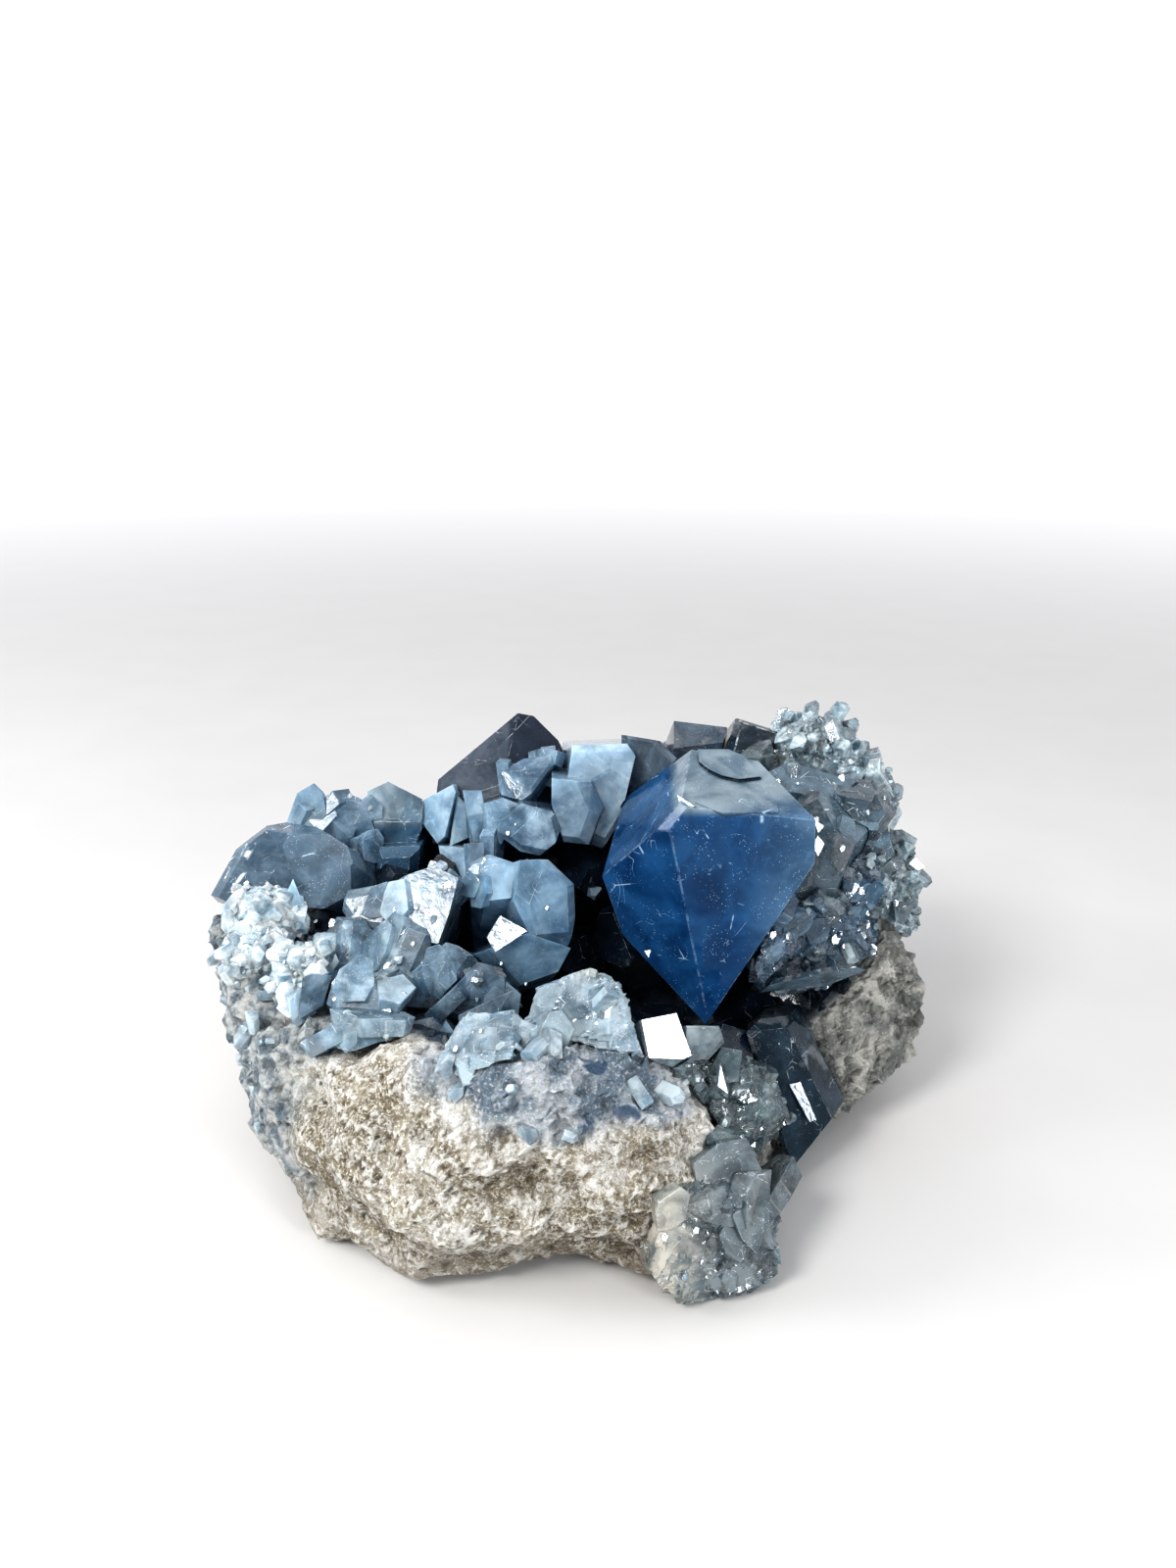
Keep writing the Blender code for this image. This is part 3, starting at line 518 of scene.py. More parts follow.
LOOKS = {
    # The great crystal's top turns pale grey through cap: painted reflection of the bright sky.
    "great": dict(cloud=(0.010, 0.066, 0.17), milk=(0.8, 0.97), absorb=75, tint=DEEP, rough=0.03,
                  patch=15, lines=0.8, specks=0.9, grain=0.15, grain_size=22, facets=0.0, shine=0.12,
                  mark=(0.55, 0.70, 0.85), drift=((0.115, 0.20, 0.30), 0.034, 0.058),
                  cap=((0.20, 0.255, 0.305), 0.086, 0.0885)),
    "plate": dict(cloud=(0.11, 0.165, 0.215), milk=(0.3, 0.8), absorb=60, tint=GREY, rough=0.04,
                  lines=1.0, specks=0.8, grain=0.9, grain_size=9, facets=0.8),
    "smoky": dict(cloud=(0.095, 0.112, 0.145), milk=(0.6, 0.95), absorb=110, tint=SMOKE, rough=0.03,
                  patch=14, lines=0.6, specks=0.1, grain_size=14, facets=0.4, ribs=(1.6, 40),
                  drift=((0.020, 0.030, 0.050), -0.0185, -0.0170)),
    "pale": dict(cloud=(0.28, 0.39, 0.50), milk=(0.45, 0.85), absorb=40, lines=1.0, glow=0.3,
                 grain=0.45, toned=True),
    "ridge": dict(cloud=(0.25, 0.35, 0.45), milk=(0.5, 0.85), absorb=45, rough=0.14, lines=0.8,
                  shine=0.3, glow=0.3, grain=0.4, toned=True),
    "blue": dict(cloud=(0.42, 0.55, 0.67), milk=(0.6, 0.95), absorb=45, patch=13, specks=0.4,
                 glow=0.6, grain=0.25, grain_size=12),
    "middle": dict(cloud=(0.24, 0.36, 0.48), milk=(0.55, 0.9), patch=13, lines=0.6, glow=0.5,
                   grain=0.25, grain_size=12),
    "dome": dict(cloud=(0.12, 0.175, 0.235), milk=(0.5, 0.9), absorb=55, tint=GREY, rough=0.04,
                 patch=11, lines=1.0, specks=1.0, glow=0.3, grain=0.4, grain_size=16),
    "peak": dict(cloud=(0.055, 0.12, 0.19), milk=(0.5, 0.9), absorb=60, tint=GREY, rough=0.04,
                 patch=14, grain_size=16, cap=((0.30, 0.37, 0.43), 0.064, 0.068)),
    "lit": dict(cloud=(0.34, 0.44, 0.53), milk=(0.4, 0.85), absorb=30, rough=0.16, shine=0.35,
                patch=7, lines=1.0, specks=0.6, glow=0.3, grain=0.6, toned=True),
    "dark": dict(cloud=(0.19, 0.27, 0.35), milk=(0.35, 0.85), absorb=65, tint=GREY, rough=0.06,
                 patch=7, lines=0.8, specks=0.7, grain=0.5, toned=True),
    "glass": dict(cloud=(0.03, 0.055, 0.08), milk=(0.3, 0.7), absorb=75, tint=GREY, rough=0.04,
                  patch=11, lines=0.6, grain_size=13),
    "back": dict(cloud=(0.15, 0.21, 0.28), milk=(0.3, 0.75), absorb=55, tint=GREY, rough=0.04,
                 patch=11, lines=0.6, grain_size=13),
    "grey": dict(cloud=(0.16, 0.205, 0.225), milk=(0.3, 0.8), absorb=45, tint=GREY, patch=6,
                 lines=0.8, specks=0.7, grain=0.5, toned=True),
    "companion": dict(cloud=(0.13, 0.20, 0.28), milk=(0.2, 0.75), absorb=45, rough=0.04, patch=7,
                      lines=1.0, specks=0.7, grain=0.8, toned=True),
    # Nearly black, for the hollow's crystals, the deep wall and the step's shadow: painted shade.
    "deep": dict(cloud=(0.008, 0.018, 0.035), milk=(0.35, 0.8), absorb=130, tint=NIGHT, rough=0.07,
                 patch=8, lines=0.3, specks=0.3),
    "mirror": dict(cloud=(0.36, 0.43, 0.48), milk=(0.3, 0.6), absorb=45, tint=GREY, rough=0.02,
                   patch=10, lines=0.3, specks=0.2),
    "white": dict(cloud=(0.56, 0.63, 0.69), milk=(0.6, 1.0), absorb=25, rough=0.14, patch=5,
                  specks=0.8, glow=0.4, grain=0.6, toned=True),
    "knob": dict(cloud=(0.30, 0.37, 0.43), milk=(0.55, 1.0), absorb=30, rough=0.10, patch=8,
                 lines=1.0, specks=1.0, glow=0.4, grain=0.5, toned=True,
                 cap=((0.50, 0.49, 0.44), 0.0620, 0.0680)),
    "frost": dict(cloud=(0.38, 0.45, 0.51), milk=(0.5, 1.0), absorb=30, rough=0.12, patch=5,
                  specks=0.8, glow=0.3, grain=0.8, toned=True),
    "chunk": dict(cloud=(0.38, 0.375, 0.35), milk=(0.4, 1.0), absorb=40, tint=GREY, rough=0.08,
                  patch=6, lines=1.0, specks=1.0, glow=0.3, grain=1.0, toned=True,
                  drift=((0.15, 0.18, 0.20), 0.017, 0.030)),
    "crust": dict(cloud=(0.44, 0.53, 0.59), milk=(0.2, 0.9), absorb=35, tint=GREY, rough=0.07,
                  patch=4, specks=0.6, glow=0.2, grain=0.9, toned=True),
    "druse": dict(cloud=(0.30, 0.37, 0.41), milk=(0.25, 0.8), tint=GREY, patch=4, lines=0.4,
                  specks=0.4, grain=0.7, toned=True),
    # Nearly black small crystals for the hollow: painted shade.
    "deep_druse": dict(cloud=(0.012, 0.025, 0.045), milk=(0.3, 0.8), absorb=120, tint=NIGHT,
                       rough=0.06, patch=5, lines=0.2, specks=0.2, grain=0.6, toned=True),
    "ribbed": dict(cloud=(0.30, 0.38, 0.46), milk=(0.3, 0.7), absorb=45, tint=GREY, rough=0.04,
                   patch=8, lines=0.3, specks=0.3, ribs=(0.9, 30)),
}
PAINTS = {name: crystal_paint(name, **look) for name, look in LOOKS.items()}

# The crystals that keep the imported model's own faces. The hollow's crystals and the deep wall
# get nearly black paint: painted shade.
CRYSTALS = {
    "great_crystal": "great", "right_slab": "plate", "right_block": "plate", "back_block": "back",
    "back_prism": "glass", "smoky_peak": "smoky", "blue_block": "blue", "deep_wall": "deep",
    "pale_plate": "blue", "left_peak": "peak", "left_dome": "dome", "left_spikes": "blue",
    "middle_block": "middle", "mirror_crystal": "mirror", "tall_right_crystal": "glass",
    "pale_cluster": "pale", "left_ridge": "ridge", "lit_crystals": "lit", "left_wall_crystals": "lit",
    "dark_middle": "dark", "hollow_back": "deep", "hollow_front": "deep", "hollow_right": "deep",
    "hollow_left": "deep",
}

# Their edges: width of the worn strip, how far two faces turn at one, and how white it is painted,
# for rubbed wear and for painted highlight along the edge.
EDGE_WIDTH, EDGE_TURN = 0.28, 14
EDGE_WEAR_AND_HIGHLIGHT, EDGE_WEAR_AND_HIGHLIGHT_USUAL = {"great": 0.2, "dome": 0.2, "smoky": 0.5, "plate": 0.9}, 0.65
EDGES = {name: crystal_paint(name + "_edge", **LOOKS[name], wear_and_highlight=EDGE_WEAR_AND_HIGHLIGHT.get(name, EDGE_WEAR_AND_HIGHLIGHT_USUAL))
         for name in sorted(set(CRYSTALS.values()))}


def finish_crystals():
    """Every crystal that keeps its shape gets its material and whitened edges: wear and painted
    highlight.
    """
    for node, paint in CRYSTALS.items():
        made, mesh = NODES[node], NODES[node].data
        mesh.materials.clear()
        mesh.materials.append(PAINTS[paint])
        mesh.materials.append(EDGES[paint])
        mesh.polygons.foreach_set("use_smooth", [False] * len(mesh.polygons))
        mesh.polygons.foreach_set("material_index", [0] * len(mesh.polygons))
        weld = made.modifiers.new("weld", "WELD")
        weld.merge_threshold = 0.01 * MM
        flat = made.modifiers.new("flat", "DECIMATE")
        flat.decimate_type, flat.angle_limit = "DISSOLVE", math.radians(1.0)
        edge = made.modifiers.new("edge", "BEVEL")
        edge.width, edge.segments = EDGE_WIDTH * MM, 2
        edge.limit_method, edge.angle_limit = "ANGLE", math.radians(EDGE_TURN)
        edge.material = 1


# Rind

RIND_PITCH, RIND_SOFTENING = 0.93, 13

# Places where the rind's front is eaten away: x, z, half width, half height and depth.
DENTS = [(-11.6, 29.5, 10, 3.2, 3.0), (14.5, 33, 6, 3.5, 1.8), (-50.8, 21.2, 6, 3.5, 1.5),
         (-14.6, 39.2, 4, 2.5, 1.8), (2.0, 12.0, 12, 3.5, 2.0), (-22.0, 10.0, 10, 3.0, 1.5),
         (12.0, 21.0, 8, 2.5, 1.5), (-40.0, 14.0, 8, 2.5, 1.2)]


def dented(points, wander):
    """How far in each point of the front lies, in mm."""
    x, y, z = points.T
    total = np.zeros(len(points))
    for at_x, at_z, wide, high, depth in DENTS:
        away = ((x - at_x + wander) / wide) ** 2 + ((z - at_z + wander * 0.5) / high) ** 2
        total += depth * np.exp(-away) * (y < -20)
    return total


def rind_zones(points, normals):
    """How much of each point is massive celestite, the hollow's side, the frosted left end, the
    grey right end, and the foot, which is painted darker as shade. Angles are in degrees from the
    right end, by the back."""
    x, y, z = points.T
    azimuth = np.degrees(np.arctan2(y, x)) % 360
    wander = waves(points, 14, 3) * 4 + waves(points, 5, 4) * 2.5
    inward = -(normals[:, 0] * x + normals[:, 1] * y) / np.maximum(np.hypot(x, y), 1)
    inside = step(0.05, 0.45, inward) * step(6, 12, z)
    left = step(172, 186, azimuth + wander) * (1 - step(216, 226, azimuth + wander * 1.5))
    left = left * step(3, 14, z + wander)
    right = np.maximum(step(294, 304, azimuth + wander), 1 - step(40, 64, azimuth + wander))
    # The massive band ends at this height, which rises at the front left and wanders at the back.
    border = 41 + 16 * np.exp(-((azimuth - 233) / 9) ** 2) - 3 * np.exp(-((azimuth - 285) / 12) ** 2)
    border = border + waves(points, 26, 5) * 9 * step(0, 20, y)
    massive = step(-3, 4, z - border + wander) * (1 - inside)
    # The foot is painted darker: painted shade.
    low = 1 - step(3, 20, z + wander * 1.5)
    return {"massive": massive, "inside": inside, "left": left, "right": right, "low": low}


def make_rind():
    """The rind with its lumps, pits and grains."""
    points, faces = arrays_of(NODES["limestone_rind"].data)
    points, faces = remeshed(points, faces, RIND_PITCH, RIND_SOFTENING)
    normals = normals_of(points, faces)
    masks = rind_zones(points, normals)
    celestite = np.clip(masks["massive"] + masks["left"] + masks["right"], 0, 1)
    outside = 1 - masks["inside"]
    fade = step(0.2, 3.0, points[:, 2])
    grain = waves(points, 10, 11) * 2.3 + waves(points, 4.5, 12) * 1.4
    bent = points + np.stack([waves(points, 3, 31 + i) for i in range(3)], 1) * 1.6
    grain += (0.4 - np.abs(waves(bent, 2.3, 13))) * 0.5 + waves(points, 1.0, 14) * 0.3
    pit = np.minimum(waves(bent, 2.8, 15) + 0.35, 0) * 0.7
    dent = dented(points, waves(points, 5, 16) * 2.5) * outside
    points = points + normals * ((grain + pit * (1 - celestite) - dent) * fade)[:, None]
    for size, depth, tilt, seed, weight in (
        (9.0, 1.2, 0.25, 23, (1 - celestite) * fade * 0.25),
        (3.2, 0.5, 0.35, 24, (1 - celestite) * fade * 0.5),
        (6.0, 1.0, 0.3, 21, celestite * fade * outside),
        (2.4, 0.4, 0.32, 22, celestite * fade * 0.9),
    ):
        points, _, _ = broken(points, faces, size, depth, tilt, seed, weight)
    points[:, 2] = np.maximum(points[:, 2], 0)
    made = new_piece("rind_surface", points, faces, rind_paint(), ["limestone_rind"])
    masks["dent"] = np.clip(dent / 2, 0, 1)
    masks["sunk"] = sunken(points, faces)
    for name, values in masks.items():
        add_mask(made, name, values)


# Pieces whose faces are broken, stepped or chipped: paint, pitch of the triangles, size of the
# faces, how far they are out of line in mm, and how much they tilt.
BROKEN = {
    "front_knob": ("knob", 0.6, 12.0, 0.5, 0.12),
    "corner_chunk": ("chunk", 0.6, 12.0, 0.7, 0.18),
    "right_rim": ("crust", 0.6, 5.0, 1.0, 0.3),
    "back_rim": ("crust", 0.6, 4.0, 0.9, 0.3),
    "left_rim_crust": ("white", 0.6, 6.0, 0.9, 0.25),
    "left_edge_crust": ("white", 0.5, 4.0, 0.8, 0.3),
    "front_grey_crystals": ("grey", 0.55, 6.0, 0.4, 0.14),
    "front_blue_chunk": ("grey", 0.55, 6.0, 0.4, 0.14),
    "behind_great": ("grey", 0.6, 6.0, 0.5, 0.16),
    "right_companion": ("companion", 0.55, 7.0, 0.6, 0.18),
}
# How often these are softened before their faces are broken. The others are softened once.
ROUNDED = {"front_knob": 14, "corner_chunk": 4}


def make_broken_pieces():
    """Each piece is broken twice, into large faces and into small ones on them."""
    for number, (node, (paint, pitch, size, depth, tilt)) in enumerate(BROKEN.items()):
        source = arrays_of(NODES[node].data)
        points, faces = remeshed(*source, pitch, ROUNDED.get(node, 1))
        flats = flats_of(points, *source)
        points, tone, flats = broken(points, faces, size, depth, tilt, 40 + number, 1.0, flats)
        points, fine, _ = broken(points, faces, size * 0.45, depth * 0.4, tilt, 60 + number, 0.6, flats)
        points[:, 2] = np.maximum(points[:, 2], 0.2)
        made = new_piece(f"{node}_broken", points, faces, PAINTS[paint], [node])
        add_mask(made, "tone", tone * 0.6 + fine * 0.4)


# Flat crystals and small faces that lie on the large ones: paint, corners as (x, z), depth y of
# their middle, the way they look or the light that they mirror, and thickness.
PLATES = [
    ("plate", [(42.9, 41.1), (58.4, 42.0), (66.4, 48.3), (63.6, 50.1), (51.4, 44.7), (44.6, 44.1)],
     -20.0, (0.1, -0.8, -0.6), 1.6),
    ("mirror", [(53.2, 82.8), (56.0, 80.9), (54.4, 79.4)], -14.5, "window", 1.5),
    ("mirror", [(53.2, 76.4), (54.7, 78.5), (56.4, 76.6), (54.8, 73.9)], -14.5, "window", 1.5),
    ("mirror", [(81.6, 62.7), (83.4, 64.2), (86.2, 61.7), (84.0, 60.8)], 6.5, "window", 1.5),
    ("mirror", [(22.4, 90.2), (26.5, 88.9), (22.9, 87.8)], -20.5, "left", 0.8),
    ("mirror", [(15.7, 54.2), (17.5, 54.2), (16.8, 52.5)], -22.5, "window", 0.8),
    ("plate", [(21.4, 65.0), (23.2, 65.2), (27.0, 58.2), (25.1, 59.4)],
     -22.6, (-0.45, -0.88, 0.12), 0.8),
    ("ribbed", [(-19.1, 59.5), (-16.2, 63.5), (-10.0, 59.2), (-17.3, 56.1)], -25.0, "window", 1.5),
    ("ribbed", [(-24.0, 49.7), (-18.7, 50.9), (-12.4, 52.1), (-16.2, 47.9), (-23.6, 46.1)],
     -40.5, "window", 1.5),
    ("dark", [(-57.3, 55.8), (-55.4, 56.3), (-51.3, 55.2), (-53.3, 49.1), (-58.3, 46.7)],
     -37.5, (0.3, -0.9, 0.2), 2.0),
    ("blue", [(-65.1, 65.8), (-62.4, 59.8), (-68.3, 59.1)], -11.0, (0.15, -0.9, 0.4), 1.2),
    ("blue", [(-70.9, 62.3), (-67.9, 59.8), (-69.0, 57.2)], -12.0, (-0.2, -0.9, 0.4), 1.0),
    ("mirror", [(30.6, 42.4), (32.3, 36.2), (29.8, 38.1)], -50.5, "window", 0.8),
    ("ribbed", [(48.6, 24.4), (51.6, 24.4), (55.2, 16.6), (53.4, 16.3)], -31.5, "window", 1.0),
    ("chunk", [(24.0, 29.0), (29.3, 31.5), (35.3, 31.1), (40.0, 21.3), (34.2, 15.3), (26.0, 17.0)],
     -63.0, (0.35, -0.9, 0.35), 9.0),
]
# A flat crystal's back is this much smaller than its front, and its edges are cut by this in mm.
BACK_SHARE, PLATE_EDGE = 0.86, 0.15

# Growth steps on the great crystal's top: paint, corners as (x, y, z), the way they look and
# thickness. The rear step's painted shadow, a dark crescent of its shape, lies moved by this much.
TOP = (0.10, -0.17, 0.98)
STEP_SHADOW_Y, STEP_SHADOW_Z = -0.5, -0.45
REAR_STEP = [(28.6, 3.0, 93.3), (36.1, 4.6, 92.8), (39.7, 2.0, 92.0), (42.6, -7.0, 90.1),
             (37.2, -9.4, 90.3), (33.2, -8.4, 90.9), (30.3, -5.9, 91.6), (28.5, -3.0, 92.3)]
FRONT_STEP = [(26.0, -20.3, 89.1), (31.6, -23.8, 87.9), (44.4, -21.5, 87.1), (44.6, -16.9, 87.8),
              (39.7, -16.6, 88.4), (33.1, -17.4, 88.9)]
STEPS = [
    ("deep", [(x, y + STEP_SHADOW_Y, z + STEP_SHADOW_Z) for x, y, z in REAR_STEP], TOP, 1.2),
    ("great", REAR_STEP, TOP, 0.8),
    ("great", FRONT_STEP, TOP, 1.2),
]


def mirroring(place, light):
    """The way a face there looks when it shows that light to the camera."""
    to_light = unit(np.array(LIGHTS[light][0]) - place)
    to_camera = unit(np.array(CAMERA_AT) - place)
    return unit(to_light + to_camera)


def upright(corners, depth, looks):
    """The corners (x, z) on a plane that looks that way and has that depth at their middle."""
    middle = np.array([np.mean([c[0] for c in corners]), depth, np.mean([c[1] for c in corners])])
    looks = mirroring(middle, looks) if isinstance(looks, str) else unit(np.array(looks))
    falls = [(x - middle[0]) * looks[0] + (z - middle[2]) * looks[2] for x, z in corners]
    front = np.array([(x, depth - fall / looks[1], z) for (x, z), fall in zip(corners, falls)])
    return front, looks


def flat_crystal(front, looks, thick):
    """Points and faces of a flat crystal whose front has these corners."""
    middle = front.mean(0)
    bm = bmesh.new()
    for corner in front:
        bm.verts.new(corner)
        bm.verts.new(middle + (corner - middle) * BACK_SHARE - looks * thick)
    bmesh.ops.convex_hull(bm, input=bm.verts)
    bmesh.ops.dissolve_limit(bm, angle_limit=0.02, verts=bm.verts, edges=bm.edges)
    bmesh.ops.bevel(bm, geom=bm.edges, offset=PLATE_EDGE, segments=1, affect="EDGES")
    return arrays_from(bm)


def make_plates():
    flat = [(paint, *upright(corners, depth, looks), thick)
            for paint, corners, depth, looks, thick in PLATES]
    flat += [(paint, np.array(corners), unit(np.array(looks)), thick)
             for paint, corners, looks, thick in STEPS]
    for paint in sorted({entry[0] for entry in flat}):
        shapes = [flat_crystal(*entry[1:]) for entry in flat if entry[0] == paint]
        joined_piece(f"flat_{paint}", shapes, np.full(len(shapes), 0.5), paint)


# Small crystals


def small_crystal(seed):
    """Points and faces of a crystal of length 1 that stands on the origin along Z."""
    vary = np.random.RandomState(seed)
    wide, thick = vary.uniform(0.32, 0.55), vary.uniform(0.2, 0.42)
    bm = bmesh.new()
    bmesh.ops.create_cube(bm, size=4)
    planes = []
    for side in (1, -1):
        planes.append(((side, 0, 0), wide * vary.uniform(0.85, 1.0)))
        planes.append(((0, side, 0), thick * vary.uniform(0.85, 1.1)))
        for turn in (1, -1):
            slant = (math.sin(math.radians(52)) * side, math.cos(math.radians(52)) * turn, 0)
            planes.append((slant, wide * 0.79 * vary.uniform(0.86, 1.06)))
        planes.append(((0.62 * side, 0, 0.79), vary.uniform(0.62, 0.8)))
        planes.append(((0, 0.78 * side, 0.63), vary.uniform(0.58, 0.8)))
    planes += [((0, 0, 1), vary.uniform(0.85, 1.0)), ((0, 0, -1), 0.3)]
    for outward, away in planes:
        every = bm.verts[:] + bm.edges[:] + bm.faces[:]
        point = Vector(outward) * away
        bmesh.ops.bisect_plane(bm, geom=every, plane_co=point, plane_no=outward, clear_outer=True)
        rim = [e for e in bm.edges if e.is_boundary]
        if rim:
            bmesh.ops.holes_fill(bm, edges=rim, sides=0)
    return arrays_from(bm)


SHAPES = [small_crystal(seed) for seed in range(14)]


def all_nodes():
    """The surfaces of all CAD nodes, in metres, for rays."""
    points, faces, total = [], [], 0
    for made in NODES.values():
        p, f = arrays_of(made.data)
        points.append(p * MM)
        faces.append(f + total)
        total += len(p)
    return BVHTree.FromPolygons(np.concatenate(points).tolist(), np.concatenate(faces).tolist())


ALL_NODES = all_nodes()
# A ray starts this far off the surface, and the air has to be free for this far.
RAY_START, RAY_LENGTH = 0.4, 2.0


def is_free(place, look):
    """Whether the surface is open to the air there."""
    start = Vector(place + look * RAY_START)
    return ALL_NODES.ray_cast(start * MM, Vector(look), RAY_LENGTH * MM)[0] is None


def places_on(nodes, number, vary):
    """Places spread evenly over the surfaces of these CAD nodes, and the way each looks."""
    corners = []
    for node in nodes:
        points, faces = arrays_of(NODES[node].data)
        corners.append(points[faces])
    corners = np.concatenate(corners)
    across = crosses(corners)
    area = np.linalg.norm(across, axis=1)
    chosen = vary.choice(len(corners), number, p=area / area.sum())
    a, b = vary.uniform(0, 1, (2, len(chosen), 1))
    a, b = np.where(a + b > 1, 1 - a, a), np.where(a + b > 1, 1 - b, b)
    tri = corners[chosen]
    return tri[:, 0] + a * (tri[:, 1] - tri[:, 0]) + b * (tri[:, 2] - tri[:, 0]), unit(across[chosen])


def joined_piece(name, shapes, tones, paint):
    """One piece of many shapes, each with its tone."""
    counts = [len(points) for points, _ in shapes]
    starts = np.cumsum([0] + counts[:-1])
    points = np.concatenate([points for points, _ in shapes])
    faces = np.concatenate([faces + start for (_, faces), start in zip(shapes, starts)])
    points[:, 2] = np.maximum(points[:, 2], 0.2)
    made = new_piece(name, points, faces, PAINTS[paint])
    add_mask(made, "tone", np.repeat(tones, counts))


def outward_up(place, look):
    return look[2] > -0.2


def in_hollow(place, look):
    """On the rind's inner side."""
    away = math.hypot(place[0], place[1])
    return place[2] > 12 and -(look[0] * place[0] + look[1] * place[1]) > 0.15 * away


def under_knob(place, look):
    """On the lower side of the front knob, where it has grown together with the rind."""
    return look[2] < -0.1 and look[1] < 0.1 and place[1] < -44


def front_rim(place, look):
    """On the massive band along the top of the rind's front."""
    return place[1] < -46 and -26 < place[0] < 28 and place[2] > 39


def on_the_left(place, look):
    """On the outside of the rind's left end, above its foot."""
    azimuth = math.degrees(math.atan2(place[1], place[0])) % 360
    outward = look[0] * place[0] + look[1] * place[1] > 0
    return 176 < azimuth < 214 and place[2] > 16 and outward and look[2] > -0.3


def grow_on(name, nodes, paint, count, sizes, seed, keep=outward_up, spread=0.5, sunk=0.25,
            along=(0, 0, 1), hold=0.0):
    """Small crystals on the surfaces of these CAD nodes, as one piece. count is the most of them, and
    fewer grow where few places are free. keep says for a place and the way its surface looks whether
    one grows there, spread how much they lean, sunk how much of each is below the surface, and hold
    how much they all turn to the way along."""
    vary = np.random.RandomState(seed)
    shapes, tones = [], []
    for place, look in zip(*places_on(nodes, count * 4, vary)):
        size = vary.uniform(0, 1) ** 2.2 * (sizes[1] - sizes[0]) + sizes[0]
        turn, lean = vary.uniform(0, math.tau), vary.normal(0, spread, 3)
        shape = SHAPES[vary.randint(len(SHAPES))]
        if len(shapes) >= count or not keep(place, look) or not is_free(place, look):
            continue
        axis = Vector(look * (1 - hold) + np.array(along) * hold + lean).normalized()
        turned = Matrix.Rotation(turn, 3, "Z")
        matrix = np.array(axis.to_track_quat("Z", "Y").to_matrix() @ turned)
        points = (shape[0] * size) @ matrix.T + place - np.array(axis) * size * sunk
        shapes.append((points, shape[1]))
        tones.append(vary.uniform(0, 1))
    joined_piece(name, shapes, tones, paint)


# The way most crystals of the left rim and of the back rim lie.
LEFT_WAY, BACK_WAY = (-0.45, -0.30, 0.85), (0.15, -0.1, 1.0)


def make_small_crystals():
    """Piece, nodes, paint, the most of them, sizes in mm and seed, then how they stand."""
    rind = ["limestone_rind"]
    grow_on("right_druse", ["right_companion"], "druse", 40, (1.5, 6.0), 101, spread=0.6)
    grow_on("right_rim_druse", ["right_rim"], "druse", 80, (1.5, 6.0), 107, spread=0.6, sunk=0.35)
    grow_on("back_druse", ["back_rim"], "crust", 120, (2.0, 8.0), 102,
            spread=0.3, sunk=0.4, along=BACK_WAY, hold=0.6)
    grow_on("left_druse", ["left_rim_crust", "left_edge_crust"], "white", 200, (1.0, 6.5), 103,
            spread=0.35, sunk=0.4, along=LEFT_WAY, hold=0.5)
    grow_on("left_rind_druse", rind, "frost", 160, (1.2, 6.0), 111, on_the_left,
            spread=0.35, sunk=0.45, along=LEFT_WAY, hold=0.5)
    grow_on("wall_druse", ["left_wall_crystals", "lit_crystals"], "white", 24, (1.0, 4.0), 104)
    grow_on("dark_druse", ["dark_middle", "behind_great", "right_slab"], "druse", 50, (1.0, 4.0), 108)
    grow_on("front_druse", ["front_grey_crystals", "front_blue_chunk"], "druse", 30, (0.9, 3.5), 105)
    grow_on("frost_lumps", ["front_knob"], "frost", 60, (2.0, 6.5), 109, under_knob)
    grow_on("rim_frost", rind, "frost", 70, (1.5, 5.5), 110, front_rim)
    grow_on("band_lumps", rind, "knob", 30, (4.0, 9.0), 112, front_rim, spread=0.6, sunk=0.8)
    grow_on("gap_druse", ["deep_wall"], "dark", 14, (2.0, 6.0), 113)
    # The hollow's small crystals are painted nearly black, as shade.
    grow_on("hollow_druse", rind, "deep_druse", 420, (2.5, 8.0), 106, in_hollow)


# Faces that stand out of the larger crystals: node, paint, number, sizes, rise and tilt.
FACETS = [
    ("pale_cluster", "pale", 9, (7, 12), 1.2, 0.16), ("left_ridge", "ridge", 6, (7, 11), 1.0, 0.16),
    ("lit_crystals", "lit", 9, (6, 12), 1.2, 0.2), ("left_wall_crystals", "lit", 10, (6, 11), 1.2, 0.2),
    ("dark_middle", "dark", 8, (6, 10), 1.0, 0.2), ("front_knob", "knob", 8, (4, 8), 0.5, 0.25),
    ("right_companion", "companion", 16, (4, 9), 1.2, 0.25),
    ("right_block", "plate", 6, (6, 12), 1.0, 0.14), ("right_slab", "plate", 12, (5, 13), 1.0, 0.16),
    ("left_rim_crust", "white", 12, (4, 9), 1.0, 0.25), ("back_rim", "crust", 16, (4, 9), 1.2, 0.25),
    ("corner_chunk", "chunk", 8, (7, 13), 0.7, 0.15), ("right_rim", "druse", 12, (4, 9), 1.2, 0.25),
    ("middle_block", "middle", 3, (7, 10), 0.6, 0.1),
    ("front_grey_crystals", "grey", 8, (5, 9), 1.0, 0.2), ("behind_great", "grey", 8, (5, 9), 1.0, 0.2),
]

# Small faces that catch a light: nodes, the most of them, sizes and light.
GLINTS = [
    (["right_companion", "right_rim"], 34, (0.8, 2.6), "window"),
    (["right_slab", "right_block", "behind_great"], 26, (0.6, 2.2), "window"),
    (["right_slab", "right_block", "back_rim", "behind_great"], 34, (0.7, 2.6), "key"),
    (["left_rim_crust", "left_edge_crust", "left_wall_crystals", "lit_crystals"], 40, (0.7, 2.6), "key"),
    (["front_grey_crystals", "corner_chunk", "dark_middle", "front_blue_chunk"],
     24, (0.6, 1.8), "window"),
    (["pale_cluster", "left_ridge", "middle_block", "front_knob"], 16, (0.6, 1.6), "key"),
]
GLINT_RISE, GLINT_TILT = 0.5, 0.06


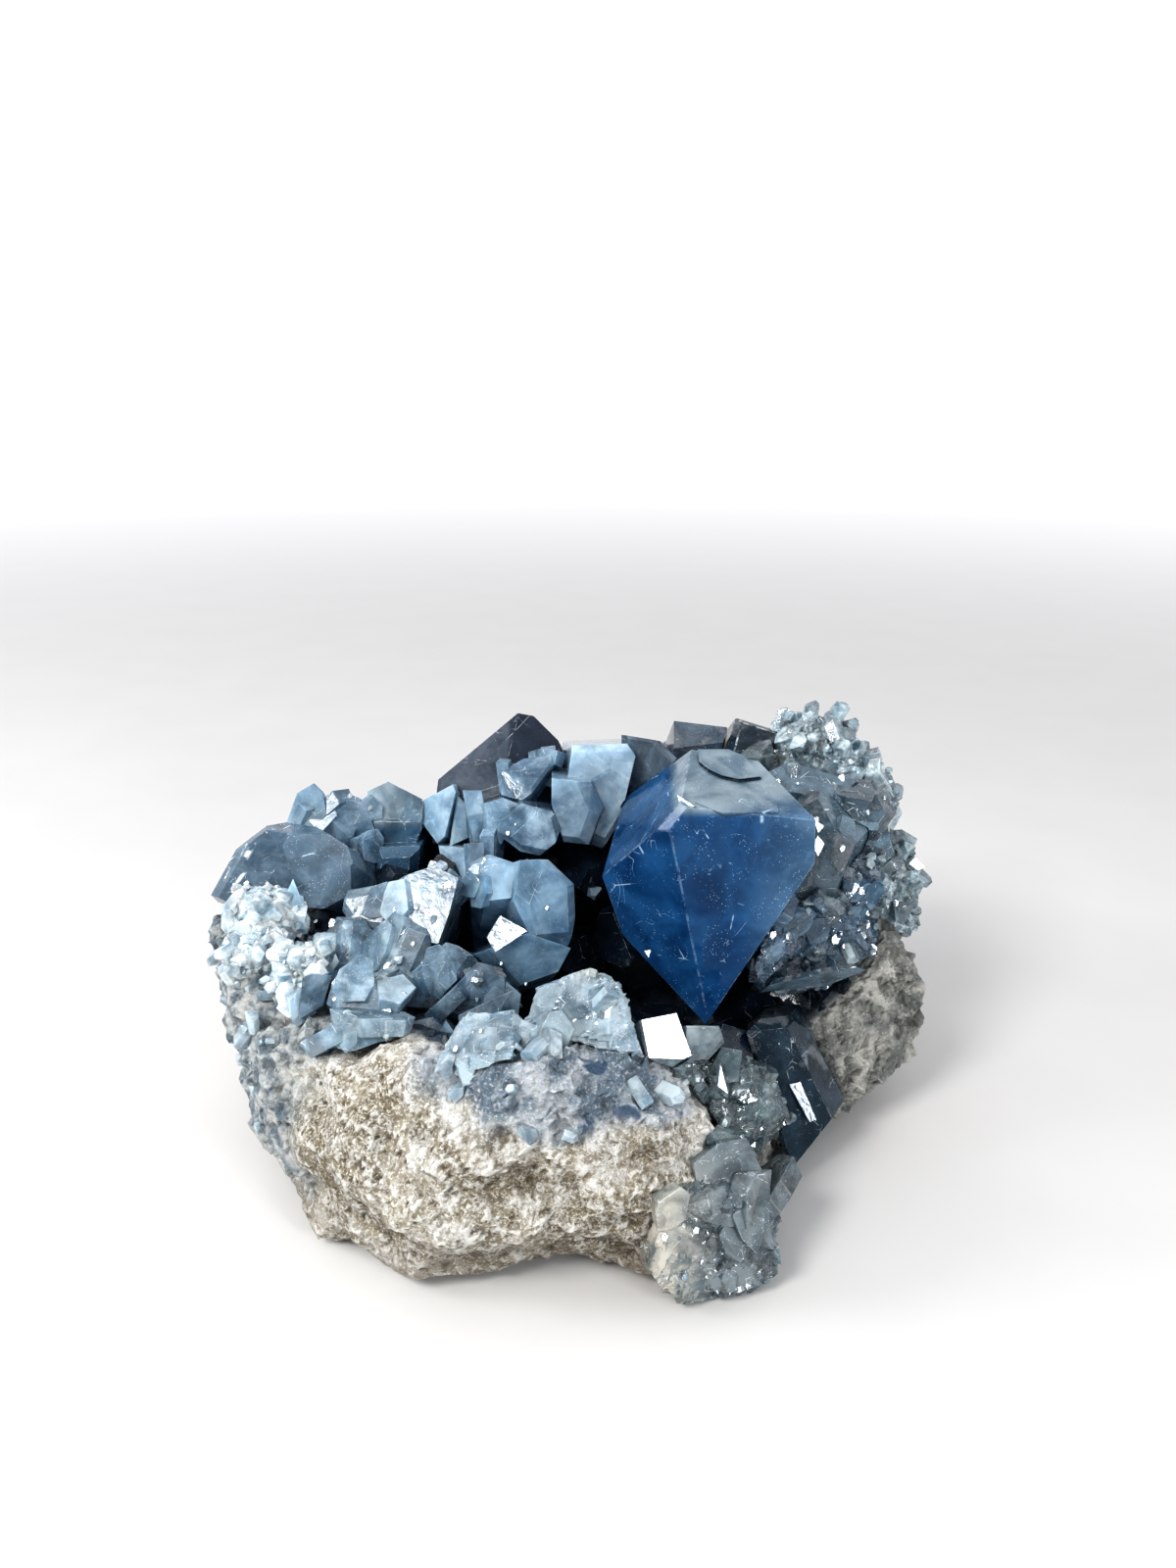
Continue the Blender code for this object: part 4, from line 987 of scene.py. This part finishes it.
def facets_on(name, nodes, paint, count, sizes, rise, tilt, seed, light=None):
    """Flat crystals that have grown into the surfaces of these CAD nodes, so that a slanting face of
    each stands out by about rise mm, as one piece. With a light, they are those that mirror it."""
    vary = np.random.RandomState(seed)
    shapes, tones = [], []
    for place, look in zip(*places_on(nodes, count * 8, vary)):
        size, high = vary.uniform(*sizes), vary.uniform(0.1, 1.0) * rise
        turn = vary.uniform(0, math.tau)
        toward = mirroring(place, light) if light else look
        front_look = unit(toward + vary.normal(0, tilt, 3))
        corners = vary.randint(5, 8)
        angles = turn + (np.arange(corners) + vary.uniform(-0.25, 0.25, corners)) * math.tau / corners
        radii = size / 2 * vary.uniform(0.8, 1.15, corners)
        faces_out = front_look @ look > 0.6 and outward_up(place, look)
        if len(shapes) >= count or not faces_out or not is_free(place, look):
            continue
        across = unit(np.cross(front_look, (0.3, 0.2, 0.93)))
        upwards = np.cross(front_look, across)
        front = (place + look * high + across * (np.cos(angles) * radii)[:, None]
                 + upwards * (np.sin(angles) * radii * 1.35)[:, None])
        shapes.append(flat_crystal(front, front_look, size * 0.4))
        tones.append(vary.uniform(0, 1))
    joined_piece(name, shapes, tones, paint)


def make_facets():
    for number, (node, paint, count, sizes, rise, tilt) in enumerate(FACETS):
        facets_on(f"{node}_faces", [node], paint, count, sizes, rise, tilt, 200 + number)
    for number, (nodes, count, sizes, light) in enumerate(GLINTS):
        facets_on(f"glints_{number}", nodes, "mirror", count, sizes, GLINT_RISE, GLINT_TILT,
                  300 + number, light)


# Floor, light and camera

# How bright the sky is: from one value of its direction to another, from dark to bright. It is
# darkest in front of the stone and brightest behind it, and LEAN is how much it brightens upwards.
SKY, SKY_LEAN = (-0.6, 0.5, 0.16, 0.77), 0.35
SKY_COLOUR = (0.98, 0.98, 1.0)
# The floor's half width and how far below the stone it lies, in mm, its colours, and between
# which distances in metres it turns into the sky behind it, so that no horizon shows.
FLOOR_HALF, FLOOR_DOWN = 12000.0, 0.05
FLOOR_COLOURS = (0.60, 0.595, 0.59), (0.64, 0.635, 0.63)
FLOOR_FADE = (0.2, 1.6)


def make_floor():
    corners = [(x * FLOOR_HALF, y * FLOOR_HALF, 0) for x, y in ((-1, -1), (1, -1), (1, 1), (-1, 1))]
    floor = new_object("floor", mesh_from("floor", corners, [(0, 1, 2), (0, 2, 3)]))
    floor.location.z = -FLOOR_DOWN * MM
    p = Paint("floor")
    near = p.mix(p.noise(40.0, 4.0, 0.5), *FLOOR_COLOURS)
    far = p.ramp(p.vector("LENGTH", p.place)["Value"], *FLOOR_FADE)
    ahead = p.parts(p.vector("NORMALIZE", p.place)[0])
    sky = p.ramp(ahead["Y"], *SKY, way="LINEAR")
    p.set(Base_Color=p.mix(far, near, (0.0, 0.0, 0.0)), Roughness=0.7,
          Specular_IOR_Level=p.ramp(far, 0.0, 0.8, 0.3, 0.0), Emission_Color=SKY_COLOUR,
          Emission_Strength=p.times(far, sky))
    floor.data.materials.append(p.material)


def make_sky():
    world = bpy.data.worlds.new("world")
    bpy.context.scene.world = world
    world.use_nodes = True
    nodes = Nodes(world.node_tree)
    ahead = nodes.parts(nodes.coordinates["Generated"])
    lean = nodes.math("MULTIPLY_ADD", ahead["Z"], SKY_LEAN, ahead["Y"])
    nodes.fill(nodes.tree.nodes["Background"], Color=SKY_COLOUR,
               Strength=nodes.ramp(lean, *SKY, way="LINEAR"))


def make_lights():
    for name, (at, size, power, colour) in LIGHTS.items():
        light = bpy.data.lights.new(name, "AREA")
        light.shape, light.size = "DISK", size * MM
        light.energy, light.color = power, colour
        made = new_object(name, light)
        made.location = Vector(at) * MM
        made.rotation_euler = (Vector(at) - Vector(MIDDLE)).to_track_quat("Z", "Y").to_euler()


def make_camera():
    camera = bpy.data.cameras.new("camera")
    camera.lens, camera.sensor_width = LENS, SENSOR
    made = new_object("camera", camera)
    made.location = Vector(CAMERA_AT) * MM
    made.rotation_euler = (math.radians(90 - CAMERA_DOWN), 0, 0)
    bpy.context.scene.camera = made


def settings():
    scene = bpy.context.scene
    scene.view_settings.view_transform = "Standard"
    scene.view_settings.look = "High Contrast"
    scene.cycles.use_denoising = True
    scene.cycles.max_bounces = 16
    scene.cycles.transmission_bounces = 14
    scene.cycles.glossy_bounces = 6
    scene.cycles.diffuse_bounces = 4
    scene.cycles.volume_bounces = 0


make_camera()
make_floor()
make_sky()
make_lights()
settings()
finish_crystals()
make_rind()
make_broken_pieces()
make_plates()
make_small_crystals()
make_facets()
